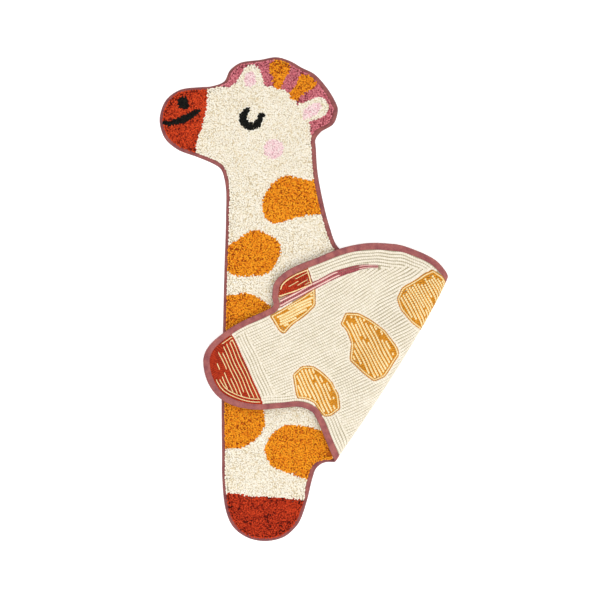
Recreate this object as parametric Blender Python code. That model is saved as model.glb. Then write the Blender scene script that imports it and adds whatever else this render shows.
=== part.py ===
"""A giraffe-shaped rug for a child's room, lying on the floor with its hindquarters folded over.

The rug is two pieces: the tufted cloth (base cloth and cut pile in one) and the tape that binds its edge.
Both are made flat, as a maker cuts and sews them, and are then folded by one function. The tables give the
outline as the folded rug lies, seen from above, in millimetres from the middle of the space it takes up on
the floor; the stretches that show their back are laid flat again before the cloth is cut.
"""

import math

import bmesh
import bpy
import numpy as np

MM = 0.001

# The rug's thickness and its edge.
PILE_TOP = 12.0  # whole rug, from the back of the base cloth to the tips of the pile
BASE_CLOTH = 2.0  # base cloth with its rows of stitches
TAPE = 1.0  # binding tape
TAPE_ON_BACK = 14.5
TAPE_ON_FACE = 9.5
SEWN_GAP = 0.3  # left between the cloth and the tape that is sewn over it
TAPE_CORNER = 0.8  # the tape rounds the edge of the cloth
BACK_RAMP = 2.7  # the cloth's back comes down to the floor just inside the tape
EDGE_THICKNESS = BASE_CLOTH + 2 * (TAPE + SEWN_GAP)

# The rim of the pile stands up beside the tape and rounds over, in steps of (inset, share of the pile's height).
PILE_HEIGHT = PILE_TOP - TAPE - SEWN_GAP - BASE_CLOTH
PILE_RIM = ((0.2, 0.6), (1.6, 0.28), (3.4, 0.12))

# The fold, seen from above: its outer edge runs from the rump to the belly.
FOLD_AT_RUMP = np.array((327.0, 51.0))
FOLD_AT_BELLY = np.array((71.0, -369.0))
RADIUS_AT_ENDS = 14.5
RADIUS_AT_MIDDLE = 21.0  # the cloth is stiff, so the fold stands fuller in its middle
FOLD_BOW = 4.0  # the crease bows outwards by this much
FULLEST_TOWARDS_RUMP = 0.8  # under 1, it is fullest nearer the rump than the belly
FREE_END = 40.0  # past the belly it turns away, so that the front hoof beyond it lies flat
SETTLE_RUN = 110.0  # beyond the fold the upper layer comes down to rest over this distance
LAYER_GAP = 0.6  # between the two layers of pile
REST_HEIGHT = 2 * PILE_TOP + LAYER_GAP  # the upper layer's back, where it rests on the lower one

# Where the upper layer reaches past the lower one it droops: a point on that edge, and the way outwards.
DROOP_EDGES = (((-172.0, -150.0), (-1.0, 0.0)), ((100.0, 95.0), (0.24, 0.97)))
DROOP_MOST = 9.0
DROOP_REACH = 45.0
RIPPLE_HEIGHT = 1.6  # low unevenness of the upper layer
RIPPLE_LENGTHS = (170.0, 120.0)

# How finely the outline and the folded part are divided.
STATION_TURN = math.radians(11)
STATION_PITCH = 34.0
CURVE_STEPS = 16
BEND_CUT, BEND_WIDTH = 4.0, 72.0
FLAP_CUT, FLAP_WIDTH = 36.0, 640.0
CROSS_CUT = 48.0

# The outline, counter-clockwise from the fold at the rump: a row for each stretch, of its (x, y) points.
# The lower layer shows its face.
LOWER_OUTLINE = {
    "back, under the fold": ((305, 48), (264, 51), (223, 58), (185, 67), (148, 80), (114, 95)),
    "nape": ((77, 120), (59, 165), (44, 223), (32, 287), (28, 344), (27, 362)),
    "crest": ((39, 379), (68, 398), (78, 430), (73, 447), (51, 483), (24, 512), (-4, 526)),
    "horns and front ear": ((-28, 540), (-61, 550), (-99, 544), (-145, 537), (-168, 520), (-181, 495)),
    "forehead": ((-209, 484), (-236, 482), (-281, 476)),
    "muzzle": ((-312, 454), (-326, 422), (-327, 397), (-315, 364), (-286, 339), (-241, 322)),
    "throat": ((-202, 305), (-188, 294), (-178, 259)),
    "breast and front leg": ((-177, 187), (-181, 55), (-185, -127), (-187, -238), (-186, -361), (-186, -397)),
    "front hoof": ((-178, -477), (-161, -517), (-128, -542), (-86, -550), (-44, -540), (-15, -514)),
    "inside of the front leg": ((-5, -496), (9, -453), (19, -411), (29, -384)),
    "belly": ((49, -371),),
}
# The upper layer shows its back.
UPPER_OUTLINE = {
    "inside of the hind leg": ((65, -355), (48, -316), (28, -270), (18, -255)),
    "hind leg": ((-10, -244), (-54, -247), (-109, -250), (-156, -242)),
    "hind hoof": ((-193, -222), (-215, -194), (-226, -162), (-227, -130), (-213, -103)),
    "back of the hind leg": ((-171, -68), (-134, -47), (-90, -27), (-70, -15)),
    "tail tuft": ((-72, 4), (-68, 34), (-58, 49), (-27, 71)),
    "rump": ((37, 97), (82, 115), (130, 126), (162, 128), (198, 126), (230, 120), (296, 90), (319, 66)),
}

COLOURS = {"tufted_cloth": (0.80, 0.72, 0.57, 1.0), "edge_binding": (0.36, 0.11, 0.14, 1.0)}
COTTON_ROUGHNESS = 0.9

FOLD_LENGTH = float(np.linalg.norm(FOLD_AT_BELLY - FOLD_AT_RUMP))
ALONG = (FOLD_AT_BELLY - FOLD_AT_RUMP) / FOLD_LENGTH
OUTWARD = np.array((-ALONG[1], ALONG[0]))
AXIS_START = FOLD_AT_RUMP - OUTWARD * RADIUS_AT_ENDS


def smoothstep(share):
    share = np.clip(share, 0.0, 1.0)
    return share * share * (3.0 - 2.0 * share)


def bend_at(place):
    """Where the bend begins, past the fold's axis, and its radius, at a place along the fold."""
    share = np.clip(place / FOLD_LENGTH, 0.0, 1.0) ** FULLEST_TOWARDS_RUMP
    fullness = 4.0 * share * (1.0 - share)
    begin = FOLD_BOW * fullness + np.maximum(place - FOLD_LENGTH - FREE_END, 0.0)
    return begin, RADIUS_AT_ENDS + (RADIUS_AT_MIDDLE - RADIUS_AT_ENDS) * fullness


def fold_places(xy):
    """How far past the fold's axis points lie, and their places along it."""
    offset = xy - AXIS_START
    return offset @ OUTWARD, offset @ ALONG


def laid_flat(seen):
    """Points on the upper layer, as seen from above, put back where they are on the flat cloth."""
    past, place = fold_places(seen)
    begin, radius = bend_at(place)
    across = past - begin
    turned = radius * (math.pi - np.arcsin(np.clip(across / radius, 0.0, 1.0)))
    run = np.where(across > 0.0, turned, math.pi * radius - across)
    return AXIS_START + np.outer(place, ALONG) + np.outer(begin + run, OUTWARD)


def unevenness(xy):
    """How far the upper layer lies below its resting height: it droops past the lower layer and ripples."""
    droop = np.zeros(len(xy))
    for point, outwards in DROOP_EDGES:
        reach = np.maximum((xy - point) @ np.array(outwards), 0.0)
        droop = np.maximum(droop, DROOP_MOST * (1.0 - np.exp(-((reach / DROOP_REACH) ** 2))))
    waves = np.sin(2 * math.pi * xy[:, 0] / RIPPLE_LENGTHS[0]) * np.cos(2 * math.pi * xy[:, 1] / RIPPLE_LENGTHS[1])
    return droop - RIPPLE_HEIGHT * (1.0 + waves) / 2


def folded(points):
    """Points of the flat rug, each with its height over the rug's back, as they lie once it is folded."""
    flat, height = points[:, :2], points[:, 2]
    past, place = fold_places(flat)
    begin, radius = bend_at(place)
    run = past - begin
    turn = np.clip(run / radius, 0.0, math.pi)
    beyond = np.maximum(run - math.pi * radius, 0.0)
    across = begin + np.minimum(run, 0.0) + (radius - height) * np.sin(turn) - beyond
    xy = AXIS_START + np.outer(place, ALONG) + np.outer(across, OUTWARD)
    settled = smoothstep(beyond / SETTLE_RUN)
    fall = settled * (2 * radius - REST_HEIGHT + unevenness(xy))
    z = radius - (radius - height) * np.cos(turn) - fall
    return np.column_stack((xy, z))


def smooth_curve(points):
    """A closed centripetal Catmull-Rom curve through the points, divided finely."""
    parts = []
    for i in range(len(points)):
        p0, p1, p2, p3 = (points[(i + k) % len(points)] for k in (-1, 0, 1, 2))
        knots = np.cumsum([0.0] + [math.dist(a, b) ** 0.5 for a, b in ((p0, p1), (p1, p2), (p2, p3))])
        t = np.linspace(knots[1], knots[2], CURVE_STEPS, endpoint=False)[:, None]

        def between(a, b, low, high):
            return ((high - t) * a + (t - low) * b) / (high - low)

        a1, a2, a3 = (between(*pair) for pair in ((p0, p1, *knots[:2]), (p1, p2, *knots[1:3]), (p2, p3, *knots[2:])))
        b1 = between(a1, a2, knots[0], knots[2])
        b2 = between(a2, a3, knots[1], knots[3])
        parts.append(between(b1, b2, knots[1], knots[2]))
    return np.vstack(parts)


def stations(curve):
    """The curve's points that its shape needs: one wherever it has turned or run far enough."""
    steps = np.roll(curve, -1, axis=0) - curve
    headings = np.unwrap(np.arctan2(steps[:, 1], steps[:, 0]))
    kept, turned, run = [0], 0.0, 0.0
    for i in range(1, len(curve)):
        turned += headings[i] - headings[i - 1]
        run += math.dist(curve[i - 1], curve[i])
        if abs(turned) > STATION_TURN or run > STATION_PITCH:
            kept.append(i)
            turned, run = 0.0, 0.0
    return curve[kept]


def flat_outline():
    lower = np.array([point for stretch in LOWER_OUTLINE.values() for point in stretch], float)
    upper = np.array([point for stretch in UPPER_OUTLINE.values() for point in stretch], float)
    return stations(smooth_curve(np.vstack((lower, laid_flat(upper)))))


def clear_scene():
    for obj in list(bpy.data.objects):
        bpy.data.objects.remove(obj)


def new_collection(name):
    collection = bpy.data.collections.new(name)
    bpy.context.scene.collection.children.link(collection)
    return collection


def closed_curve(name, points):
    """A flat closed curve through the points."""
    data = bpy.data.curves.new(name, "CURVE")
    data.dimensions = "2D"
    data.fill_mode = "NONE"
    spline = data.splines.new("POLY")
    spline.points.add(len(points) - 1)
    for point, (x, y) in zip(spline.points, points):
        point.co = (x * MM, y * MM, 0.0, 1.0)
    spline.use_cyclic_u = True
    obj = bpy.data.objects.new(name, data)
    bpy.context.scene.collection.objects.link(obj)
    return obj


def binding_section():
    """The tape folded round the edge, as (inset from the edge, height): wider on the back than on the face."""
    top = EDGE_THICKNESS
    return (
        (TAPE_CORNER, 0.0),
        (TAPE_ON_BACK, 0.0),
        (TAPE_ON_BACK, TAPE),
        (TAPE, TAPE),
        (TAPE, top - TAPE),
        (TAPE_ON_FACE, top - TAPE),
        (TAPE_ON_FACE, top),
        (TAPE_CORNER, top),
        (0.0, top - TAPE_CORNER),
        (0.0, TAPE_CORNER),
    )


def flat_binding(outline):
    """The tape's section swept round the outline."""
    section = closed_curve("binding_section", binding_section())
    path = closed_curve("binding_path", outline)
    path.data.bevel_mode = "OBJECT"
    path.data.bevel_object = section
    graph = bpy.context.evaluated_depsgraph_get()
    swept = bpy.data.meshes.new_from_object(path.evaluated_get(graph))
    for curve in (path, section):
        bpy.data.objects.remove(curve)
    bm = bmesh.new()
    bm.from_mesh(swept)
    bpy.data.meshes.remove(swept)
    bmesh.ops.remove_doubles(bm, verts=bm.verts, dist=0.01 * MM)
    bmesh.ops.recalc_face_normals(bm, faces=bm.faces)
    return bm


def inset(bm, face, width, rise=0.0):
    """Insets one face in its own plane and lifts it off along its normal."""
    bmesh.ops.inset_region(
        bm,
        faces=[face],
        thickness=width * MM,
        depth=rise * MM,
        use_boundary=True,
        use_even_offset=True,
    )


def flat_cloth(outline):
    """The tufted cloth: a thin edge for the tape, the back down on the floor, and the block of pile on top."""
    edge = TAPE + SEWN_GAP
    bm = bmesh.new()
    back = bm.faces.new([bm.verts.new((x * MM, y * MM, edge * MM)) for x, y in outline])
    back.normal_update()
    inset(bm, back, edge)
    bmesh.ops.delete(bm, geom=[v for v in bm.verts if v not in back.verts], context="VERTS")
    extruded = bmesh.ops.extrude_face_region(bm, geom=[back])["geom"]
    face = next(item for item in extruded if isinstance(item, bmesh.types.BMFace))
    bmesh.ops.translate(bm, verts=face.verts, vec=(0.0, 0.0, BASE_CLOTH * MM))
    bmesh.ops.recalc_face_normals(bm, faces=bm.faces)
    inset(bm, face, TAPE_ON_FACE + SEWN_GAP - edge)
    for width, share in PILE_RIM:
        inset(bm, face, width, share * PILE_HEIGHT)
    inset(bm, back, TAPE_ON_BACK + SEWN_GAP - edge)
    inset(bm, back, BACK_RAMP, edge)
    return bm


def cut(bm, distance, direction, only=None):
    """Divides the faces along a straight line across the flat rug, so that they can bend there."""
    faces = [f for f in bm.faces if only is None or only(f)]
    edges = {e for f in faces for e in f.edges}
    verts = {v for f in faces for v in f.verts}
    origin = (AXIS_START + direction * distance) * MM
    bmesh.ops.bisect_plane(
        bm,
        geom=[*verts, *edges, *faces],
        dist=0.02 * MM,
        plane_co=(*origin, 0.0),
        plane_no=(*direction, 0.0),
    )


def beyond_the_axis(face):
    return all((np.array(v.co.xy) / MM - AXIS_START) @ OUTWARD > -0.1 for v in face.verts)


def fold_over(bm):
    """Cuts the flat piece where it has to bend, and folds it."""
    for distance in np.arange(0.0, BEND_WIDTH + BEND_CUT, BEND_CUT):
        cut(bm, distance, OUTWARD)
    for distance in np.arange(BEND_WIDTH + FLAP_CUT / 2, FLAP_WIDTH, FLAP_CUT):
        cut(bm, distance, OUTWARD)
    for distance in np.arange(CROSS_CUT, FOLD_LENGTH, CROSS_CUT):
        cut(bm, distance, ALONG, beyond_the_axis)
    bmesh.ops.triangulate(bm, faces=bm.faces)
    flat = np.array([v.co for v in bm.verts]) / MM
    for vert, place in zip(bm.verts, folded(flat) * MM):
        vert.co = place


def cotton(name):
    material = bpy.data.materials.new(name)
    material.use_nodes = True
    shader = material.node_tree.nodes["Principled BSDF"]
    shader.inputs["Base Color"].default_value = COLOURS[name]
    shader.inputs["Roughness"].default_value = COTTON_ROUGHNESS
    shader.inputs["Metallic"].default_value = 0.0
    return material


def add_node(name, bm, collection):
    mesh = bpy.data.meshes.new(name)
    bm.to_mesh(mesh)
    bm.free()
    mesh.materials.append(cotton(name))
    mesh.shade_smooth()
    mesh.set_sharp_from_angle(angle=math.radians(40))
    collection.objects.link(bpy.data.objects.new(name, mesh))


def main():
    clear_scene()
    rug = new_collection("giraffe_rug")
    outline = flat_outline()
    for name, piece in (("tufted_cloth", flat_cloth(outline)), ("edge_binding", flat_binding(outline))):
        fold_over(piece)
        add_node(name, piece, rug)


main()
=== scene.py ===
# %% [markdown]
# # A giraffe rug for a child's room, with its hindquarters folded over
#
# The rug is tufted: cotton yarn is punched through a base cloth, so that the face is a dense cut pile and
# the back shows the rows of stitches. A mauve tape binds its edge. In the photograph the rear end is
# folded over the body, so one picture shows both sides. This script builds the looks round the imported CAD
# model, in the order in which the rug is made: the base cloth, the pile, the rows of the back, and the
# tape.

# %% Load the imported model
import math

import bmesh
import bpy
import numpy as np
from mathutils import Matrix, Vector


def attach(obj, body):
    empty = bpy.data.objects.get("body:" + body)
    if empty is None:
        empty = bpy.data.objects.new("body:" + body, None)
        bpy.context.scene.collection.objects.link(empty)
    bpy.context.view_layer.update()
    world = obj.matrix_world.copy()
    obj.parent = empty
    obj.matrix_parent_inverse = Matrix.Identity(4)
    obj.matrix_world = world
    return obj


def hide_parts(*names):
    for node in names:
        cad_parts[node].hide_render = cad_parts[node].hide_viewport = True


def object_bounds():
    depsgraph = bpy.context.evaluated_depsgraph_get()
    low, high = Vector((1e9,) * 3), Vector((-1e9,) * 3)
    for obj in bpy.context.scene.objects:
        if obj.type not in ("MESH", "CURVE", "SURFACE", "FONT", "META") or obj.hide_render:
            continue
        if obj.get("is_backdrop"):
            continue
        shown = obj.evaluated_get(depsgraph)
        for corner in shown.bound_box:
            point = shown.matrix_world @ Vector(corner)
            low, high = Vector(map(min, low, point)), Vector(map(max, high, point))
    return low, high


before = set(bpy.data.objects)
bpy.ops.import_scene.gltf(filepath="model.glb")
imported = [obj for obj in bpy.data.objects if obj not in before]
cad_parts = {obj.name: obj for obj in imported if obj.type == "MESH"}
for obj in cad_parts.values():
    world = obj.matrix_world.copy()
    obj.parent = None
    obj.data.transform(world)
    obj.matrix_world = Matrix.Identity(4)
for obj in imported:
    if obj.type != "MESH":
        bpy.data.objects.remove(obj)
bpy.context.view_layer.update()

# %% [markdown]
# ## Sizes
# All the tables are in millimetres, and one factor turns them into Blender's metres at the end. The rug's
# own sizes are the CAD model's. Height is measured from the rug's back, so it points down where the rug
# is folded.

# %% The rug's sizes
MM = 0.001
PILE_TOP = 12.0
BASE_CLOTH = 2.0
TAPE = 1.0
TAPE_ON_BACK = 14.5
TAPE_ON_FACE = 9.5
SEWN_GAP = 0.3
EDGE_THICKNESS = BASE_CLOTH + 2 * (TAPE + SEWN_GAP)
CLOTH_BACK = TAPE + SEWN_GAP
CLOTH_FACE = CLOTH_BACK + BASE_CLOTH

FOLD_AT_RUMP = np.array((327.0, 51.0))
FOLD_AT_BELLY = np.array((71.0, -369.0))
RADIUS_AT_ENDS = 14.5
RADIUS_AT_MIDDLE = 21.0
FOLD_BOW = 4.0  # how much further out the bend starts in the fold's middle
FULLEST_TOWARDS_RUMP = 0.8  # under 1, the fullest place lies nearer the rump
FREE_END = 40.0  # past the belly's end by this much, the cloth is no longer bent
SETTLE_RUN = 110.0  # how far from the fold the upper layer comes to rest
REST_HEIGHT = 2 * PILE_TOP + 0.6
DROOP_EDGES = (((-172.0, -150.0), (-1.0, 0.0)), ((100.0, 95.0), (0.24, 0.97)))  # a point, and the way out
DROOP_MOST = 9.0
DROOP_REACH = 45.0
RIPPLE_HEIGHT = 1.6
RIPPLE_LENGTHS = (170.0, 120.0)
print(f"edge {EDGE_THICKNESS} mm thick, pile {PILE_TOP} mm high")

# %% [markdown]
# ## The outline
# The rug was cut flat, but the picture shows it folded. The lower layer's outline is given as it is seen.
# The upper layer's is seen from its back, and is laid flat again before it is used. The tables are the
# ones that the CAD part was cut from, so both have one shape.

# %% The outline's tables, as seen from above
LOWER_OUTLINE = {
    "back, under the fold": ((305, 48), (264, 51), (223, 58), (185, 67), (148, 80), (114, 95)),
    "nape": ((77, 120), (59, 165), (44, 223), (32, 287), (28, 344), (27, 362)),
    "crest": ((39, 379), (68, 398), (78, 430), (73, 447), (51, 483), (24, 512), (-4, 526)),
    "horns and front ear": ((-28, 540), (-61, 550), (-99, 544), (-145, 537), (-168, 520), (-181, 495)),
    "forehead": ((-209, 484), (-236, 482), (-281, 476)),
    "muzzle": ((-312, 454), (-326, 422), (-327, 397), (-315, 364), (-286, 339), (-241, 322)),
    "throat": ((-202, 305), (-188, 294), (-178, 259)),
    "breast and front leg": ((-177, 187), (-181, 55), (-185, -127), (-187, -238), (-186, -361), (-186, -397)),
    "front hoof": ((-178, -477), (-161, -517), (-128, -542), (-86, -550), (-44, -540), (-15, -514)),
    "inside of the front leg": ((-5, -496), (9, -453), (19, -411), (29, -384)),
    "belly": ((49, -371),),
}
UPPER_OUTLINE = {
    "inside of the hind leg": ((65, -355), (48, -316), (28, -270), (18, -255)),
    "hind leg": ((-10, -244), (-54, -247), (-109, -250), (-156, -242)),
    "hind hoof": ((-193, -222), (-215, -194), (-226, -162), (-227, -130), (-213, -103)),
    "back of the hind leg": ((-171, -68), (-134, -47), (-90, -27), (-70, -15)),
    "tail tuft": ((-72, 4), (-68, 34), (-58, 49), (-27, 71)),
    "rump": ((37, 97), (82, 115), (130, 126), (162, 128), (198, 126), (230, 120), (296, 90), (319, 66)),
}

# %% [markdown]
# ## The fold
# A fold in thick cloth is a half-turn round an axis, a little fuller in its middle. One function carries
# any point of the flat rug to its place on the folded one. Everything is made flat, where shapes are
# simple, and is then folded. The same cloth could be draped by a simulation, but the photograph's fold is
# a given shape, and a formula holds it exactly and gives the same result each run.

# %% Fold the flat rug
FOLD_LENGTH = float(np.linalg.norm(FOLD_AT_BELLY - FOLD_AT_RUMP))
ALONG = (FOLD_AT_BELLY - FOLD_AT_RUMP) / FOLD_LENGTH
OUTWARD = np.array((-ALONG[1], ALONG[0]))
AXIS_START = FOLD_AT_RUMP - OUTWARD * RADIUS_AT_ENDS


def smoothstep(share):
    share = np.clip(share, 0.0, 1.0)
    return share * share * (3.0 - 2.0 * share)


def bend_at(place):
    """Where the bend begins, past the fold's axis, and its radius, at a place along the fold."""
    share = np.clip(place / FOLD_LENGTH, 0.0, 1.0) ** FULLEST_TOWARDS_RUMP
    fullness = 4.0 * share * (1.0 - share)
    begin = FOLD_BOW * fullness + np.maximum(place - FOLD_LENGTH - FREE_END, 0.0)
    return begin, RADIUS_AT_ENDS + (RADIUS_AT_MIDDLE - RADIUS_AT_ENDS) * fullness


def fold_places(xy):
    """How far past the fold's axis points lie, and their places along it."""
    offset = np.asarray(xy, float) - AXIS_START
    return offset @ OUTWARD, offset @ ALONG


def run_past_fold(flat):
    """How far points of the flat rug lie beyond the start of the bend; negative on the lower layer."""
    past, place = fold_places(flat)
    return past - bend_at(place)[0]


def laid_flat(seen):
    """Points on the upper layer, as seen from above, put back where they are on the flat cloth."""
    past, place = fold_places(seen)
    begin, radius = bend_at(place)
    across = past - begin
    turned = radius * (math.pi - np.arcsin(np.clip(across / radius, 0.0, 1.0)))
    run = np.where(across > 0.0, turned, math.pi * radius - across)
    return AXIS_START + np.outer(place, ALONG) + np.outer(begin + run, OUTWARD)


def unevenness(xy):
    """How far the upper layer lies below its resting height: it droops past the lower layer and ripples."""
    droop = np.zeros(len(xy))
    for point, outwards in DROOP_EDGES:
        reach = np.maximum((xy - point) @ np.array(outwards), 0.0)
        droop = np.maximum(droop, DROOP_MOST * (1.0 - np.exp(-((reach / DROOP_REACH) ** 2))))
    along_x, along_y = (2 * math.pi * xy[:, k] / RIPPLE_LENGTHS[k] for k in (0, 1))
    waves = np.sin(along_x) * np.cos(along_y)
    return droop - RIPPLE_HEIGHT * (1.0 + waves) / 2


def folded(flat, height):
    """Points of the flat rug, at a height over its back, as they lie once it is folded."""
    past, place = fold_places(flat)
    begin, radius = bend_at(place)
    run = past - begin
    turn = np.clip(run / radius, 0.0, math.pi)
    beyond = np.maximum(run - math.pi * radius, 0.0)
    across = begin + np.minimum(run, 0.0) + (radius - height) * np.sin(turn) - beyond
    xy = AXIS_START + np.outer(place, ALONG) + np.outer(across, OUTWARD)
    settled = smoothstep(beyond / SETTLE_RUN)
    fall = settled * (2 * radius - REST_HEIGHT + unevenness(xy))
    z = radius - (radius - height) * np.cos(turn) - fall
    return np.column_stack((xy, z))


print(f"fold {FOLD_LENGTH:.0f} mm long")

# %% [markdown]
# ## Curves through a few points
# A maker draws such a shape freehand: a few points and a smooth line through them. A centripetal
# Catmull-Rom curve does that without loops or overshoot, so the tables stay short.

# %% Smooth curves and the flat outline
CURVE_STEPS = 16
STATION_TURN = math.radians(5)
STATION_PITCH = 9.0
HEADING_REACH = 1.5  # a heading is measured between two places this far before and after


def smooth_curve(points, steps=CURVE_STEPS):
    """A closed centripetal Catmull-Rom curve through the points, divided finely."""
    parts = []
    for i in range(len(points)):
        p0, p1, p2, p3 = (points[(i + k) % len(points)] for k in (-1, 0, 1, 2))
        knots = np.cumsum([0.0] + [math.dist(a, b) ** 0.5 for a, b in ((p0, p1), (p1, p2), (p2, p3))])
        t = np.linspace(knots[1], knots[2], steps, endpoint=False)[:, None]

        def between(a, b, low, high):
            return ((high - t) * a + (t - low) * b) / (high - low)

        a1 = between(p0, p1, knots[0], knots[1])
        a2 = between(p1, p2, knots[1], knots[2])
        a3 = between(p2, p3, knots[2], knots[3])
        b1 = between(a1, a2, knots[0], knots[2])
        b2 = between(a2, a3, knots[1], knots[3])
        parts.append(between(b1, b2, knots[1], knots[2]))
    return np.vstack(parts)


def stations(curve, most_run=STATION_PITCH):
    """The curve's points that its shape needs: one wherever it has turned or run far enough."""
    steps = np.roll(curve, -1, axis=0) - curve
    headings = np.unwrap(np.arctan2(steps[:, 1], steps[:, 0]))
    most_run = np.broadcast_to(most_run, len(curve))
    kept, turned, run = [0], 0.0, 0.0
    for i in range(1, len(curve)):
        turned += headings[i] - headings[i - 1]
        run += math.dist(curve[i - 1], curve[i])
        if abs(turned) > STATION_TURN or run > most_run[i]:
            kept.append(i)
            turned, run = 0.0, 0.0
    return curve[kept]


def evenly(curve, run, closed=True):
    """Points at an even spacing along a curve, and the headings there."""
    line = np.vstack((curve, curve[:1])) if closed else curve
    reach = np.concatenate(([0.0], np.cumsum(np.linalg.norm(np.diff(line, axis=0), axis=1))))
    count = max(2, round(reach[-1] / run))
    marks = (np.arange(count) + 0.5) * reach[-1] / count

    def at(marks):
        return np.column_stack([np.interp(marks, reach, line[:, k]) for k in (0, 1)])

    ahead = at(marks + HEADING_REACH) - at(marks - HEADING_REACH)
    return at(marks), ahead / np.maximum(np.linalg.norm(ahead, axis=1), 1e-9)[:, None]


def inward(curve):
    """The way inwards at each point of a closed curve."""
    heading = np.roll(curve, -1, axis=0) - np.roll(curve, 1, axis=0)
    heading /= np.linalg.norm(heading, axis=1)[:, None]
    turn = np.cross(curve, np.roll(curve, -1, axis=0)).sum()
    return np.column_stack((-heading[:, 1], heading[:, 0])) * (1.0 if turn > 0 else -1.0)


def table_points(table):
    return np.array([point for stretch in table.values() for point in stretch], float)


OUTLINE_POINTS = np.vstack((table_points(LOWER_OUTLINE), laid_flat(table_points(UPPER_OUTLINE))))
OUTLINE = stations(smooth_curve(OUTLINE_POINTS))
COARSE_STEPS = 4
COARSE_PITCH = 20.0
LOWER_PATCH = stations(smooth_curve(table_points(LOWER_OUTLINE), COARSE_STEPS), COARSE_PITCH)
UPPER_PATCH = stations(smooth_curve(table_points(UPPER_OUTLINE), COARSE_STEPS), COARSE_PITCH)
print(f"{len(OUTLINE)} stations round the outline")

# %% [markdown]
# ## In or out, and how deep
# Which yarn a tuft has, and where a row of stitches ends, both come down to one question: how deep is
# this place inside that shape? These two helpers answer it for many points at once with NumPy.

# %% Depth inside a shape
CHUNK = 2000
FAR_OFF = -1000.0


def nearest(points, curve, closed=True):
    """Each point's distance to a curve, and the way from it to the nearest place on the curve."""
    ends = np.roll(curve, -1, axis=0) if closed else curve[1:]
    starts = curve if closed else curve[:-1]
    runs = ends - starts
    squares = np.maximum((runs**2).sum(axis=1), 1e-12)
    far, way = np.empty(len(points)), np.empty((len(points), 2))
    for first in range(0, len(points), CHUNK):
        part = slice(first, first + CHUNK)
        offset = points[part, None] - starts
        share = np.clip((offset * runs).sum(axis=2) / squares, 0.0, 1.0)
        apart = offset - share[..., None] * runs
        gaps = np.hypot(apart[..., 0], apart[..., 1])
        pick = gaps.argmin(axis=1)
        row = np.arange(len(pick))
        far[part] = gaps[row, pick]
        way[part] = -apart[row, pick]
    return far, way


def within(points, curve):
    """Whether each point is inside a closed curve, by counting the edges that a line from it crosses."""
    x, y = points.T
    inside = np.zeros(len(points), bool)
    for (ax, ay), (bx, by) in zip(curve, np.roll(curve, -1, axis=0)):
        straddles = (ay > y) != (by > y)
        rise = by - ay if by != ay else 1.0
        inside ^= straddles & (x < (bx - ax) * (y - ay) / rise + ax)
    return inside


def depth_in(points, curve, margin=40.0):
    """How deep each point is inside a closed curve; negative outside, and not measured far outside."""
    depth = np.full(len(points), FAR_OFF)
    low, high = curve.min(axis=0) - margin, curve.max(axis=0) + margin
    near = ((points > low) & (points < high)).all(axis=1)
    if near.any():
        far, _ = nearest(points[near], curve)
        depth[near] = np.where(within(points[near], curve), far, -far)
    return depth


print("depth at the middle of the neck:", depth_in(np.array([[-70.0, 200.0]]), OUTLINE).round(1))
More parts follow.
